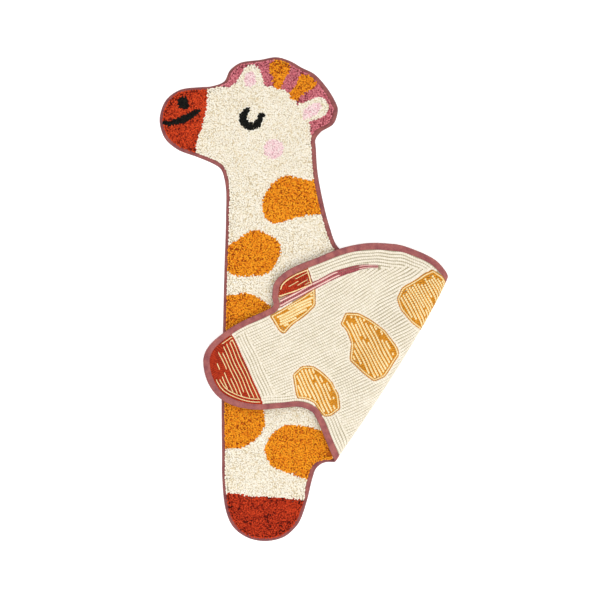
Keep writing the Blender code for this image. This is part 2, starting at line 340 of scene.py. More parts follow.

# %% [markdown]
# ## The motifs
# The colours are what an ordinary giraffe has: spots, hooves, a crest, two ears, two horns and a sleepy
# eye. Each motif is a patch with its own yarn, drawn as a few points and given as it is seen. A
# later row is sewn over an earlier one. A stroke is a line with a half-width at each point, for the eye
# and the mouth.

# %% Patches on the lower layer
FACE_PATCHES = (
    ("crest", "mauve", (
        (-193, 480), (-161, 482), (-88, 483), (-65, 480), (-43, 473), (-31, 464), (-22, 455),
        (-13, 441), (1, 425), (13, 407), (15, 389), (17, 372), (60, 365), (105, 410), (95, 480),
        (40, 545), (-60, 575), (-180, 560), (-218, 500),
    )),
    ("front ear", "cream", (
        (-164, 479), (-153, 493), (-142, 510), (-134, 523), (-125, 529), (-114, 530), (-105, 526),
        (-97, 515), (-93, 502), (-90, 489), (-86, 480), (-110, 466), (-140, 466),
    )),
    ("rear ear", "cream", (
        (-13, 441), (1, 446), (13, 451), (25, 456), (37, 458), (47, 454), (55, 443), (57, 431),
        (51, 420), (39, 412), (26, 406), (14, 404), (-4, 415),
    )),
    ("front horn", "orange", (
        (-79, 528), (-70, 538), (-56, 541), (-41, 537), (-31, 527), (-32, 516), (-40, 506), (-45, 493),
        (-52, 477), (-65, 478), (-70, 493), (-70, 505), (-77, 516),
    )),
    ("rear horn", "orange", (
        (-8, 508), (5, 508), (20, 501), (29, 491), (27, 481), (15, 474), (3, 468), (-6, 459),
        (-14, 450), (-25, 452), (-32, 462), (-25, 473), (-19, 484), (-14, 496),
    )),
    ("inside of the front ear", "pink", (
        (-121, 515), (-112, 510), (-108, 498), (-111, 486), (-121, 481), (-131, 486), (-134, 498),
        (-130, 510),
    )),
    ("inside of the rear ear", "pink", (
        (35, 444), (40, 436), (33, 423), (17, 412), (1, 408), (-4, 417), (6, 432), (21, 443),
    )),
    ("cheek", "pink", (
        (-68, 362), (-52, 356), (-46, 341), (-51, 325), (-67, 318), (-84, 324), (-90, 340), (-84, 356),
    )),
    ("muzzle", "rust", (
        (-216, 500), (-217, 478), (-219, 452), (-221, 432), (-226, 409), (-233, 382), (-243, 353),
        (-251, 300), (-350, 300), (-350, 500),
    )),
    ("nostril", "black", (
        (-286, 445), (-282, 455), (-273, 458), (-264, 454), (-262, 444), (-260, 433), (-268, 431),
        (-280, 432), (-285, 437),
    )),
    ("spot on the neck", "orange", (
        (-40, 280), (-15, 275), (12, 270), (40, 262), (45, 225), (44, 196), (3, 189), (-27, 182),
        (-54, 172), (-77, 175), (-90, 193), (-94, 214), (-86, 241), (-70, 262),
    )),
    ("spot on the breast", "orange", (
        (-109, 157), (-88, 150), (-61, 134), (-52, 112), (-61, 84), (-81, 59), (-118, 52), (-156, 53),
        (-170, 62), (-176, 84), (-176, 116), (-154, 130), (-138, 144),
    )),
    ("spot by the hind leg", "orange", (
        (-190, 2), (-170, 7), (-127, 14), (-106, 5), (-84, -9), (-66, -27), (-60, -52), (-75, -78),
        (-110, -92), (-150, -88), (-190, -70),
    )),
    ("spot on the front leg", "orange", (
        (-93, -236), (-90, -263), (-88, -282), (-95, -302), (-113, -322), (-138, -335), (-156, -338),
        (-195, -334), (-195, -205), (-150, -185), (-110, -196),
    )),
    ("spot on the belly", "orange", (
        (-31, -285), (3, -288), (42, -299), (74, -312), (92, -342), (66, -372), (40, -374), (26, -392),
        (18, -410), (-9, -402), (-43, -391), (-72, -379), (-86, -354), (-86, -332), (-74, -309),
        (-54, -293),
    )),
    ("front hoof", "dark red", (
        (-200, -450), (-95, -448), (0, -456), (60, -470), (60, -600), (-200, -600),
    )),
)
FACE_STROKES = (
    ("closed eye", "black", (
        (-129, 428, 6.5), (-136, 417, 8.5), (-137, 404, 8.5), (-129, 394, 8.5), (-118, 391, 8.5),
        (-106, 395, 8), (-100, 405, 7), (-97, 416, 5.5), (-90, 417, 4),
    )),
    ("smile", "black", (
        (-315, 400, 4.5), (-304, 398, 5.5), (-288, 402, 7), (-273, 407, 8), (-259, 414, 7.5),
        (-247, 422, 6.5), (-238, 427, 5),
    )),
)
print(len(FACE_PATCHES), "patches and", len(FACE_STROKES), "strokes on the lower layer")

# %% [markdown]
# ### The folded half's motifs
# The folded half shows its back. Its motifs are given as they are seen there, and are laid flat with the
# same function as the outline. The pile below them has the same motifs, because the yarn goes through the
# cloth.

# %% Patches on the upper layer, where its back is seen
HIND_PATCHES = (
    ("hind hoof", "dark red", (
        (-161, -83), (-143, -121), (-127, -156), (-110, -195), (-92, -235), (-98, -290), (-270, -260),
        (-270, -60), (-190, -30),
    )),
    ("tail tuft", "dark red", (
        (-56, 42), (-22, 60), (10, 73), (16, 52), (22, 30), (-14, 17), (-54, 2), (-80, 20),
    )),
    ("spot by the tail", "orange", (
        (-78, -38), (-43, -18), (-11, 1), (26, 27), (27, -14), (8, -34), (-24, -57), (-36, -71),
        (-44, -79), (-56, -72),
    )),
    ("spot on the haunch", "orange", (
        (95, -30), (124, -32), (150, -45), (186, -72), (209, -106), (215, -124), (197, -155),
        (182, -175), (159, -186), (130, -164), (104, -137), (106, -99), (96, -73), (82, -55),
    )),
    ("spot on the thigh", "orange", (
        (-4, -151), (22, -151), (38, -160), (66, -188), (79, -214), (82, -248), (62, -264), (46, -266),
        (24, -236), (8, -228), (-15, -225), (-21, -206), (-26, -170),
    )),
)
# The next spot goes round the fold, so it is given as it lies on the flat cloth.
FOLD_PATCH = ("spot on the fold", "orange", (
    (375, 18), (355, 28), (332, 36), (300, 30), (268, 8), (250, -22), (254, -56), (278, -79),
    (311, -95), (344, -101), (372, -96), (384, -74), (383, -42), (380, -12),
))
TAIL_LINE = ((-64, -15), (-48, -7), (-15, 11), (20, 29), (65, 52), (112, 69), (141, 74), (172, 73))
TAIL_HALF = 8.6
TAIL_SLIMS_FROM = 0.55  # the tail slims from this share of its length on
TAIL_SLIMS_TO = 0.4  # to this share of its width
print(len(HIND_PATCHES) + 1, "patches on the upper layer")

# %% [markdown]
# ### From the tables to curves
# The pile's motifs have soft borders, so they get the same smooth curve as the outline. On the back the
# rows turn sharp corners at a motif's border, so those patches keep straight edges. Each patch ends up as
# a closed curve on the flat cloth, and one function tells which yarn is punched at any place.

# %% Lay the patches out flat
PATCH_STEPS = 6
TAIL_STEPS = 8


def open_curve(points, steps):
    """A smooth curve from the first point to the last."""
    longer = np.vstack((2 * points[0] - points[1], points, 2 * points[-1] - points[-2]))
    return smooth_curve(longer, steps)[steps : -2 * steps]


def tail_strand(offset):
    """A strand of the tail at this height over its middle, as seen, and how thick the tail is along it."""
    line = open_curve(np.array(TAIL_LINE, float), TAIL_STEPS)
    share = np.linspace(0.0, 1.0, len(line))
    slim = 1.0 - (1.0 - TAIL_SLIMS_TO) * smoothstep((share - TAIL_SLIMS_FROM) / (1.0 - TAIL_SLIMS_FROM))
    heading = np.gradient(line, axis=0)
    heading /= np.linalg.norm(heading, axis=1)[:, None]
    upwards = np.column_stack((-heading[:, 1], heading[:, 0]))
    return line + upwards * (offset * slim)[:, None], slim


def straight_edges(points, run=4.0):
    """A closed shape of straight edges, divided finely, with its corners a little rounded."""
    parts = []
    for start, end in zip(points, np.roll(points, -1, axis=0)):
        steps = max(1, round(math.dist(start, end) / run))
        parts.append(start + (end - start) * np.linspace(0.0, 1.0, steps, endpoint=False)[:, None])
    line = np.vstack(parts)
    return (np.roll(line, 1, axis=0) + line + np.roll(line, -1, axis=0)) / 3


def lay_out_patches():
    """Every patch as (title, yarn, closed curve), in flat millimetres."""
    found = []
    for title, yarn, points in FACE_PATCHES:
        found.append((title, yarn, smooth_curve(np.array(points, float), PATCH_STEPS)))
    for title, yarn, points in HIND_PATCHES:
        found.append((title, yarn, laid_flat(straight_edges(np.array(points, float)))))
    title, yarn, points = FOLD_PATCH
    found.append((title, yarn, straight_edges(np.array(points, float))))
    return found


PATCHES = lay_out_patches()
tail_middle, tail_slim = tail_strand(0.0)
TAIL = ("tail", "mauve", tuple(np.column_stack((laid_flat(tail_middle), TAIL_HALF * tail_slim))))
STROKES = (*FACE_STROKES, TAIL)


def depth_in_stroke(points, stroke):
    """How deep each point is inside a line that is thicker in some places than in others."""
    depth = np.full(len(points), FAR_OFF)
    for (ax, ay, a_half), (bx, by, b_half) in zip(stroke, stroke[1:]):
        run = np.array((bx - ax, by - ay), float)
        offset = points - (ax, ay)
        share = np.clip(offset @ run / (run @ run), 0.0, 1.0)
        half = a_half + (b_half - a_half) * share
        depth = np.maximum(depth, half - np.linalg.norm(offset - np.outer(share, run), axis=1))
    return depth


BORDER_SEED = 11


def yarn_at(points, teeth=0.0):
    """The yarn of the pile at each point of the flat rug. Teeth is how ragged the patches' borders are."""
    yarns = np.full(len(points), "cream", dtype="<U12")
    ragged = points + np.random.default_rng(BORDER_SEED).normal(0.0, 1.0, points.shape) * teeth
    for _, yarn, curve in PATCHES:
        yarns[depth_in(ragged, curve) > 0] = yarn
    for _, yarn, stroke in STROKES:
        yarns[depth_in_stroke(points, stroke) > 0] = yarn
    return yarns


print(len(PATCHES), "patches in all")

# %% [markdown]
# ## Shader maths as plain expressions
# A finish is a small graph of nodes. Written node by node it is long and hard to read, so `Mask` wraps a
# socket and overloads the operators: `1 - tone * 0.3` adds its own Math nodes. `Finish` has one method
# for any other node, which takes the node's type, its settings and its sockets. Colours go through Mix
# nodes, because a Math node would turn them grey.

# %% Wrap sockets and build finishes
def paint(red, green, blue):
    """A colour given in the 0-255 steps of a screen, as Blender's linear light."""
    steps = (value / 255 for value in (red, green, blue))
    return (*(s / 12.92 if s <= 0.04045 else ((s + 0.055) / 1.055) ** 2.4 for s in steps), 1.0)


class Mask:
    """A number that varies over a surface."""

    def __init__(self, finish, socket):
        self.finish = finish
        self.socket = socket

    def maths(self, operation, *values, clamp=False):
        settings = {"operation": operation, "use_clamp": clamp}
        return self.finish.mask("ShaderNodeMath", settings, dict(enumerate(values)), "Value")

    def __add__(self, other):
        return self.maths("ADD", self, other)

    __radd__ = __add__

    def __sub__(self, other):
        return self.maths("SUBTRACT", self, other)

    def __rsub__(self, other):
        return self.maths("SUBTRACT", other, self)

    def __mul__(self, other):
        return self.maths("MULTIPLY", self, other)

    __rmul__ = __mul__

    def clamped(self):
        return self.maths("ADD", self, 0.0, clamp=True)

    def sine(self):
        return self.maths("SINE", self)


class Finish:
    """A material with one Principled shader, made from expressions."""

    def __init__(self, name):
        self.material = bpy.data.materials.new(name)
        self.material.use_nodes = True
        self.tree = self.material.node_tree
        self.tree.nodes.clear()
        self.place = self.node("ShaderNodeTexCoord").outputs["Object"]

    def node(self, kind, settings=None, sockets=None):
        """Any node: its type, its settings, which are set first, and the values or links of its sockets."""
        made = self.tree.nodes.new(kind)
        for name, value in (settings or {}).items():
            setattr(made, name, value)
        for name, value in (sockets or {}).items():
            socket = made.inputs[name]
            if isinstance(value, Mask):
                value = value.socket
            if isinstance(value, bpy.types.NodeSocket):
                self.tree.links.new(value, socket)
            else:
                socket.default_value = value
        return made

    def mask(self, kind, settings=None, sockets=None, output="Fac"):
        return Mask(self, self.node(kind, settings, sockets).outputs[output])

    def attribute(self, name):
        return self.mask("ShaderNodeAttribute", {"attribute_name": name})

    def noise(self, size, detail=2.0, place=None):
        """Soft noise from 0 to 1, whose blotches are about this many millimetres across."""
        sockets = {"Vector": place or self.place, "Scale": 1.0 / (size * MM), "Detail": detail}
        return self.mask("ShaderNodeTexNoise", None, sockets)

    def blend(self, share, first, second):
        """A colour between two colours."""
        settings = {"data_type": "RGBA", "clamp_factor": True}
        made = self.node("ShaderNodeMix", settings, {"Factor": share})
        for socket, value in ((made.inputs[6], first), (made.inputs[7], second)):
            if isinstance(value, bpy.types.NodeSocket):
                self.tree.links.new(value, socket)
            else:
                socket.default_value = value
        return made.outputs[2]

    def finished(self, colour, roughness, relief, relief_depth, **constants):
        """Ends in the Principled shader: a colour, a roughness, and a relief given in millimetres."""
        bumps = {"Height": relief, "Strength": 1.0, "Distance": relief_depth * MM}
        normal = self.node("ShaderNodeBump", None, bumps).outputs["Normal"]
        sockets = {"Base Color": colour, "Roughness": roughness, "Normal": normal, **constants}
        shader = self.node("ShaderNodeBsdfPrincipled", None, sockets)
        self.node("ShaderNodeOutputMaterial", None, {"Surface": shader.outputs["BSDF"]})
        return self.material


print("cream paint:", [round(value, 3) for value in paint(246, 240, 224)])

# %% [markdown]
# ## Cotton yarn
# Dyed cotton isn't one colour: each tuft takes the dye a little differently, and larger blotches come from
# the way that the pile lies. The cut tips are lighter, and shade is painted on the root of each tuft and in
# fine gaps among its fibres. The tufts carry two numbers, `tone` for each tuft and `rise` from root to tip,
# and the finish mixes its colours by them.

# %% Finishes of the pile
# The last colour of each yarn is painted shade, for the deep root of a tuft.
PILE_COLOURS = {  # yarn: the tips, their darker neighbours, the few darkest tufts, and the roots
    "cream": (paint(253, 248, 236), paint(244, 234, 211), paint(228, 212, 178), paint(222, 206, 172)),
    "orange": (paint(252, 174, 38), paint(229, 126, 18), paint(160, 66, 9), paint(148, 64, 8)),
    "dark red": (paint(214, 70, 32), paint(150, 32, 12), paint(80, 13, 6), paint(74, 13, 5)),
    "rust": (paint(226, 80, 36), paint(176, 46, 18), paint(104, 22, 10), paint(100, 20, 9)),
    "mauve": (paint(228, 138, 148), paint(190, 92, 104), paint(134, 54, 66), paint(128, 52, 62)),
    "pink": (paint(253, 236, 234), paint(249, 214, 218), paint(236, 188, 198), paint(222, 176, 180)),
    "black": (paint(30, 31, 26), paint(17, 17, 15), paint(6, 6, 6), paint(6, 6, 6)),
}
# How strongly the large blotches show. The darker yarns show them more.
BLOTCHY = {"cream": 0.45, "orange": 0.3, "pink": 0.6}
VERY_BLOTCHY = 1.1
COTTON = {"Specular IOR Level": 0.18}


def cut_pile(yarn):
    """Cut cotton tufts: light tips, painted shade at the root, a tone for each tuft, and fine fibres with
    painted shade between them.
    """
    finish = Finish("pile_" + yarn.replace(" ", "_"))
    tips, neighbours, darkest, root_shade = PILE_COLOURS[yarn]
    tone = finish.attribute("tone")
    blotches = finish.noise(38.0)
    drift = (blotches - 0.5) * BLOTCHY.get(yarn, VERY_BLOTCHY)
    mixed = (tone * 1.1 + drift - 0.08).clamped()
    specks = ((tone + drift - 0.89) * 9.0).clamped()
    shaded = finish.blend(specks, finish.blend(mixed, tips, neighbours), darkest)
    # Painted shade: lower down the tuft, the colour goes over to the root shade.
    lit = (finish.attribute("rise") * 1.7 - 0.5).clamped()
    fibres = finish.noise(0.7, 3.0)
    # Painted shade in fine gaps among the fibres, towards the root shade.
    gaps = ((fibres - 0.45) * 3.0).clamped() * 0.16
    colour_with_painted_shade = finish.blend(gaps, finish.blend(lit, root_shade, shaded), root_shade)
    return finish.finished(colour_with_painted_shade, 0.86 + fibres * 0.12, fibres, 0.55, **COTTON)


PILE_FINISHES = {yarn: cut_pile(yarn) for yarn in PILE_COLOURS}
print("pile finishes:", ", ".join(PILE_FINISHES))

# %% [markdown]
# ### The yarn on the back
# Here the yarn lies flat, so its twist shows: the plies wind round it at a slant. A picture of yarn could
# be stretched over the rows, but it would show its pixels close by. Each stitch carries the numbers `ply`
# and `end` instead, and a sine of `ply` makes the plies at any size.

# %% Finishes of the rows on the back
# The third colour of each yarn is painted shade, for the hollows between stitches.
ROW_COLOURS = {  # yarn: the light and the dark of its strands, and the hollows between stitches
    "cream": (paint(239, 230, 213), paint(226, 216, 194), paint(194, 183, 158)),
    "pale": (paint(247, 228, 176), paint(238, 209, 145), paint(190, 148, 76)),
    "orange": (paint(224, 150, 44), paint(194, 122, 22), paint(112, 72, 12)),
    "dark red": (paint(186, 56, 24), paint(142, 32, 13), paint(56, 10, 5)),
    "rust": (paint(214, 70, 24), paint(166, 40, 12), paint(96, 18, 6)),
    "mauve": (paint(186, 98, 102), paint(148, 74, 80), paint(84, 38, 44)),
    "pink": (paint(248, 212, 202), paint(238, 190, 182), paint(190, 130, 128)),
    "black": (paint(32, 31, 28), paint(18, 18, 16), paint(8, 8, 8)),
}


def twisted_yarn(yarn):
    """Yarn that lies flat along a row: its plies wind round it, and it dips between the stitches, where shade
    is painted in.
    """
    finish = Finish("rows_" + yarn.replace(" ", "_"))
    light, dark, hollow_shade = ROW_COLOURS[yarn]
    blotches = finish.noise(30.0)
    mixed = (finish.attribute("tone") * 0.8 + blotches * 0.5 - 0.25).clamped()
    plies = (finish.attribute("ply") * 2 * math.pi).sine() * 0.5 + 0.5
    # Painted shade towards the ends of each stitch, where the yarn dips.
    dip_shade = ((finish.attribute("end") - 0.5) * 2.8).clamped()
    fluff = finish.noise(0.6, 3.0)
    colour = finish.blend(dip_shade, finish.blend(mixed, light, dark), hollow_shade)
    return finish.finished(colour, 0.84 + fluff * 0.12, plies * 0.7 + fluff * 0.5, 0.35, **COTTON)


ROW_FINISHES = {yarn: twisted_yarn(yarn) for yarn in ROW_COLOURS}
print("row finishes:", ", ".join(ROW_FINISHES))

# %% [markdown]
# ## The base cloth
# The yarn is punched through a plain woven cotton cloth, which shows only in the grooves between the
# rows. It could be a plane, but a real sheet has two sides and an edge, so it is a thin closed slab. It
# is made as one flat face, cut along straight lines where it has to bend, and folded by moving its
# points.

# %% Slabs that can be folded
BEND_CUT = 3.0
BEND_WIDTH = 72.0
FLAP_CUT = 22.0
FLAP_WIDTH = 640.0
CROSS_CUT = 22.0
CUTS_AT_RUMP = (1.0, 3.0, 6.0, 10.0, 15.0)  # the bend opens fastest at its upper end
CLOTH_INSET = TAPE + SEWN_GAP
CLOTH_EDGE = 1.0  # its upper side is drawn in this much, for a soft edge
CUT_WELD = 0.02
SHARP_FROM = math.radians(40)


def flat_slab(outline, inset, low, high, top_inset):
    """A closed slab inside the outline, its top drawn in further than its bottom."""
    bm = bmesh.new()
    bottom = bm.faces.new([bm.verts.new((x, y, low)) for x, y in outline])
    bottom.normal_update()
    even = {"use_boundary": True, "use_even_offset": True}
    bmesh.ops.inset_region(bm, faces=[bottom], thickness=inset, **even)
    bmesh.ops.delete(bm, geom=[v for v in bm.verts if v not in bottom.verts], context="VERTS")
    extruded = bmesh.ops.extrude_face_region(bm, geom=[bottom])["geom"]
    top = next(item for item in extruded if isinstance(item, bmesh.types.BMFace))
    bmesh.ops.translate(bm, verts=top.verts, vec=(0.0, 0.0, high - low))
    bmesh.ops.recalc_face_normals(bm, faces=bm.faces)
    bmesh.ops.inset_region(bm, faces=[top], thickness=top_inset, **even)
    return bm


def cut_line(bm, distance, direction, start=AXIS_START):
    """Divides the faces along a straight line across the flat slab."""
    origin = start + np.array(direction) * distance
    geometry = [*bm.verts, *bm.edges, *bm.faces]
    plane = {"plane_co": (*origin, 0.0), "plane_no": (*direction, 0.0)}
    bmesh.ops.bisect_plane(bm, geom=geometry, dist=CUT_WELD, **plane)


def cut_for_bending(bm):
    for distance in np.arange(0.0, BEND_WIDTH + BEND_CUT, BEND_CUT):
        cut_line(bm, distance, OUTWARD)
    for distance in np.arange(BEND_WIDTH + FLAP_CUT / 2, FLAP_WIDTH, FLAP_CUT):
        cut_line(bm, distance, OUTWARD)
    for distance in (*CUTS_AT_RUMP, *np.arange(CROSS_CUT, FOLD_LENGTH, CROSS_CUT)):
        cut_line(bm, distance, ALONG)


def flat_points(bm):
    return np.array([vert.co for vert in bm.verts])


def as_piece(name, bm, places, material):
    """Moves a mesh's points to their places, in millimetres, and makes it a smooth piece."""
    for vert, place in zip(bm.verts, places * MM):
        vert.co = place
    mesh = bpy.data.meshes.new(name)
    bm.to_mesh(mesh)
    bm.free()
    mesh.materials.append(material)
    mesh.shade_smooth()
    mesh.set_sharp_from_angle(angle=SHARP_FROM)
    piece = bpy.data.objects.new(name, mesh)
    bpy.context.scene.collection.objects.link(piece)
    return piece


THREAD_PITCH = 1.4


def base_weave():
    """Unbleached plain weave: two sets of threads that cross, and a slightly uneven tone, made darker with
    painted shade for the grooves between the rows.
    """
    finish = Finish("base_weave")
    split = finish.node("ShaderNodeSeparateXYZ", None, {"Vector": finish.place})
    thread = 2 * math.pi / (THREAD_PITCH * MM)
    warp = (Mask(finish, split.outputs["X"]) * thread).sine()
    weft = (Mask(finish, split.outputs["Y"]) * thread).sine()
    threads = (warp * weft) * 0.5 + 0.5
    patches = finish.noise(26.0)
    # Partly the cloth's own beige and partly painted shade: it is darkened so that the grooves between the
    # rows look shaded.
    colour = finish.blend(patches * 0.6 + threads * 0.4, paint(188, 177, 147), paint(160, 148, 118))
    return finish.finished(colour, 0.9 + patches * 0.05, threads, 0.3)


slab = flat_slab(OUTLINE, CLOTH_INSET, CLOTH_BACK, CLOTH_FACE, CLOTH_EDGE)
cut_for_bending(slab)
bmesh.ops.triangulate(slab, faces=slab.faces)
slab_points = flat_points(slab)
base_cloth = as_piece("base_cloth", slab, folded(slab_points[:, :2], slab_points[:, 2]), base_weave())
print(f"base cloth: {len(base_cloth.data.polygons)} triangles")

# %% [markdown]
# ## The bed of the pile
# Deep between the tufts the yarn is imported solid. A low closed block in the yarn's colour, darkened with
# painted shade, stands for that depth, so that no gap looks through to the base cloth. Where the layers lie
# on
# each other no tuft is seen: there the block rises to the height of the tips, and the tufts are left out.

# %% Where the pile can be seen
RIM = TAPE_ON_FACE + 1.0
WIDER_ON_THE_RIGHT = 1.9  # the pile is brushed to the left, so more of the tape shows along the right edges
FRONT_HOOF_TOP = -460.0  # and below this height it doesn't
HOOF_FADE = 40.0
PEEP = 20.0  # how far under the flap's edges tufts are still planted
RIM_BAND = 14.0  # tufts along the edge, where the layers lie on each other
HIDDEN_BEND = -10.0  # the pile inside the bend is hidden, from this far before it
WELL_HIDDEN = 60.0


def facing_side(share):
    """From 0 to 1, how far a way points to a side, by its share in that direction."""
    return smoothstep((share - 0.25) / 0.55)


def face_to_the_right(points, outward):
    """How far an edge above the front hoof faces to the right, by the ways outwards from it."""
    return facing_side(outward[:, 0]) * smoothstep((points[:, 1] - FRONT_HOOF_TOP) / HOOF_FADE)


def covered(flat):
    """How deep a place of the pile lies between the two layers, in millimetres."""
    run = run_past_fold(flat)
    _, place = fold_places(flat)
    seen = folded(flat, PILE_TOP)[:, :2]
    under_flap = depth_in(seen, UPPER_PATCH)
    over_body = depth_in(seen, LOWER_PATCH)
    turned_over = run > math.pi * bend_at(place)[1]
    hidden = np.where(turned_over, over_body, under_flap)
    in_the_bend = (run > HIDDEN_BEND) & ~turned_over
    return np.where(in_the_bend, WELL_HIDDEN, hidden)


trial = np.array([[-100.0, -300.0], [0.0, -150.0]])
print("how deep two places lie between the layers:", covered(trial).round(1))

# %% Make the bed
BED_SEEN = 8.6  # the bed's height where tufts stand in it
BED_HIDDEN = PILE_TOP - 0.2  # and where none do
BED_SLOPE = 12.0  # the distance over which it rises from one to the other
BED_INSET = TAPE_ON_FACE + 0.3
BED_FOOT = CLOTH_FACE - 0.1
BED_EDGE = 1.2
BED_GRID = 9.0
LOW_RIM = 0.8  # beside the tape the bed stays this much under the tape's top


def bed_finish():
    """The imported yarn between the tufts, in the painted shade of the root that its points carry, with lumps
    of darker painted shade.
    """
    finish = Finish("pile_roots")
    colour = finish.node("ShaderNodeAttribute", {"attribute_name": "yarn_colour"}).outputs["Color"]
    lumps = finish.noise(3.2, 2.0)
    # Painted shade: the lumps darken it towards a dark brown.
    shaded = finish.blend(lumps * 0.25, colour, paint(70, 44, 28))
    return finish.finished(shaded, 0.9 + lumps * 0.06, lumps, 2.2, **COTTON)


def deep_pile_shade(yarn):
    """The painted shade deep in the pile, between the root shade and the darker tips."""
    _, neighbours, _, root_shade = PILE_COLOURS[yarn]
    return np.array(root_shade) * 0.6 + np.array(neighbours) * 0.4


bed = flat_slab(OUTLINE, BED_INSET, BED_FOOT, BED_SEEN, BED_EDGE)
low, high = OUTLINE.min(axis=0), OUTLINE.max(axis=0)
for x in np.arange(low[0], high[0], BED_GRID):
    cut_line(bed, x, (1.0, 0.0), start=np.zeros(2))
for y in np.arange(low[1], high[1], BED_GRID):
    cut_line(bed, y, (0.0, 1.0), start=np.zeros(2))
cut_for_bending(bed)
bmesh.ops.triangulate(bed, faces=bed.faces)
bed_flat = flat_points(bed)
bed_yarns = yarn_at(bed_flat[:, :2])
bed_edge, to_bed_edge = nearest(bed_flat[:, :2], OUTLINE)
raised = smoothstep((covered(bed_flat[:, :2]) - PEEP) / BED_SLOPE + 0.5) * (bed_edge > RIM_BAND)
bed_top = BED_SEEN + raised * (BED_HIDDEN - BED_SEEN)
facing = face_to_the_right(bed_flat[:, :2], to_bed_edge / bed_edge[:, None])
beside_tape = bed_edge < RIM + WIDER_ON_THE_RIGHT * facing + LOW_RIM
bed_top = np.where(beside_tape, np.minimum(bed_top, EDGE_THICKNESS - LOW_RIM), bed_top)
on_top = bed_flat[:, 2] > (BED_FOOT + BED_SEEN) / 2
bed_height = np.where(on_top, bed_top, bed_flat[:, 2])
pile_bed = as_piece("pile_bed", bed, folded(bed_flat[:, :2], bed_height), bed_finish())
tint = pile_bed.data.attributes.new("yarn_colour", "FLOAT_COLOR", "POINT")
deep_pile_shades = {yarn: deep_pile_shade(yarn) for yarn in PILE_COLOURS}
tint.data.foreach_set("color", np.array([deep_pile_shades[yarn] for yarn in bed_yarns], np.float32).ravel())
print(f"pile bed: {len(pile_bed.data.polygons)} triangles")

# %% [markdown]
# ## Geometry Nodes that plant a shape on many points
# Tufts and stitches are both one small shape, repeated thousands of times with small differences. That is
# what Geometry Nodes are for: Python works out where each one stands, and the tree puts the shape there,
# turns it, varies its size, and gives it a tone. The tree ends in Realize Instances, because the export
# drops instances, and Set Material.

# %% Build the planting tree
def add_node(tree, kind, settings=None, sockets=None):
    """One node of a Geometry Nodes tree: its type, its settings, and the values or links of its sockets."""
    made = tree.nodes.new(kind)
    for name, value in (settings or {}).items():
        setattr(made, name, value)
    by_key = {socket.identifier: socket for socket in made.inputs}
    by_name = {socket.name: socket for socket in reversed(made.inputs) if socket.enabled}
    for name, value in (sockets or {}).items():
        socket = by_key.get(name) or by_name[name]
        if isinstance(value, bpy.types.NodeSocket):
            tree.links.new(value, socket)
        else:
            socket.default_value = value
    return made


def output(node, name):
    enabled = (socket for socket in node.outputs if socket.enabled)
    return next(socket for socket in enabled if name in (socket.name, socket.identifier))


PLANTING_INPUTS = (
    ("Shapes", "NodeSocketCollection", None),
    ("Finish", "NodeSocketMaterial", None),
    ("Size Variation", "NodeSocketFloat", 0.1),
    ("Height Variation", "NodeSocketFloat", 0.06),
    ("Lean", "NodeSocketFloat", 0.1),
    ("Twist", "NodeSocketFloat", 0.1),
    ("Seed", "NodeSocketInt", 1),
)
RANDOM_LIMITS = {  # the sockets for the least and the most, for each kind of random value
    "FLOAT": ("Min_001", "Max_001"),
    "FLOAT_VECTOR": ("Min", "Max"),
    "INT": ("Min_002", "Max_002"),
}
MOST_SHAPES = 50


def named_vector(tree, name):
    """The vector that each point carries under this name."""
    settings = {"data_type": "FLOAT_VECTOR"}
    return output(add_node(tree, "GeometryNodeInputNamedAttribute", settings, {"Name": name}), "Attribute")


def maths(tree, kind, operation, sockets, result):
    """A Math or Vector Math node's result."""
    return output(add_node(tree, kind, {"operation": operation}, sockets), result)


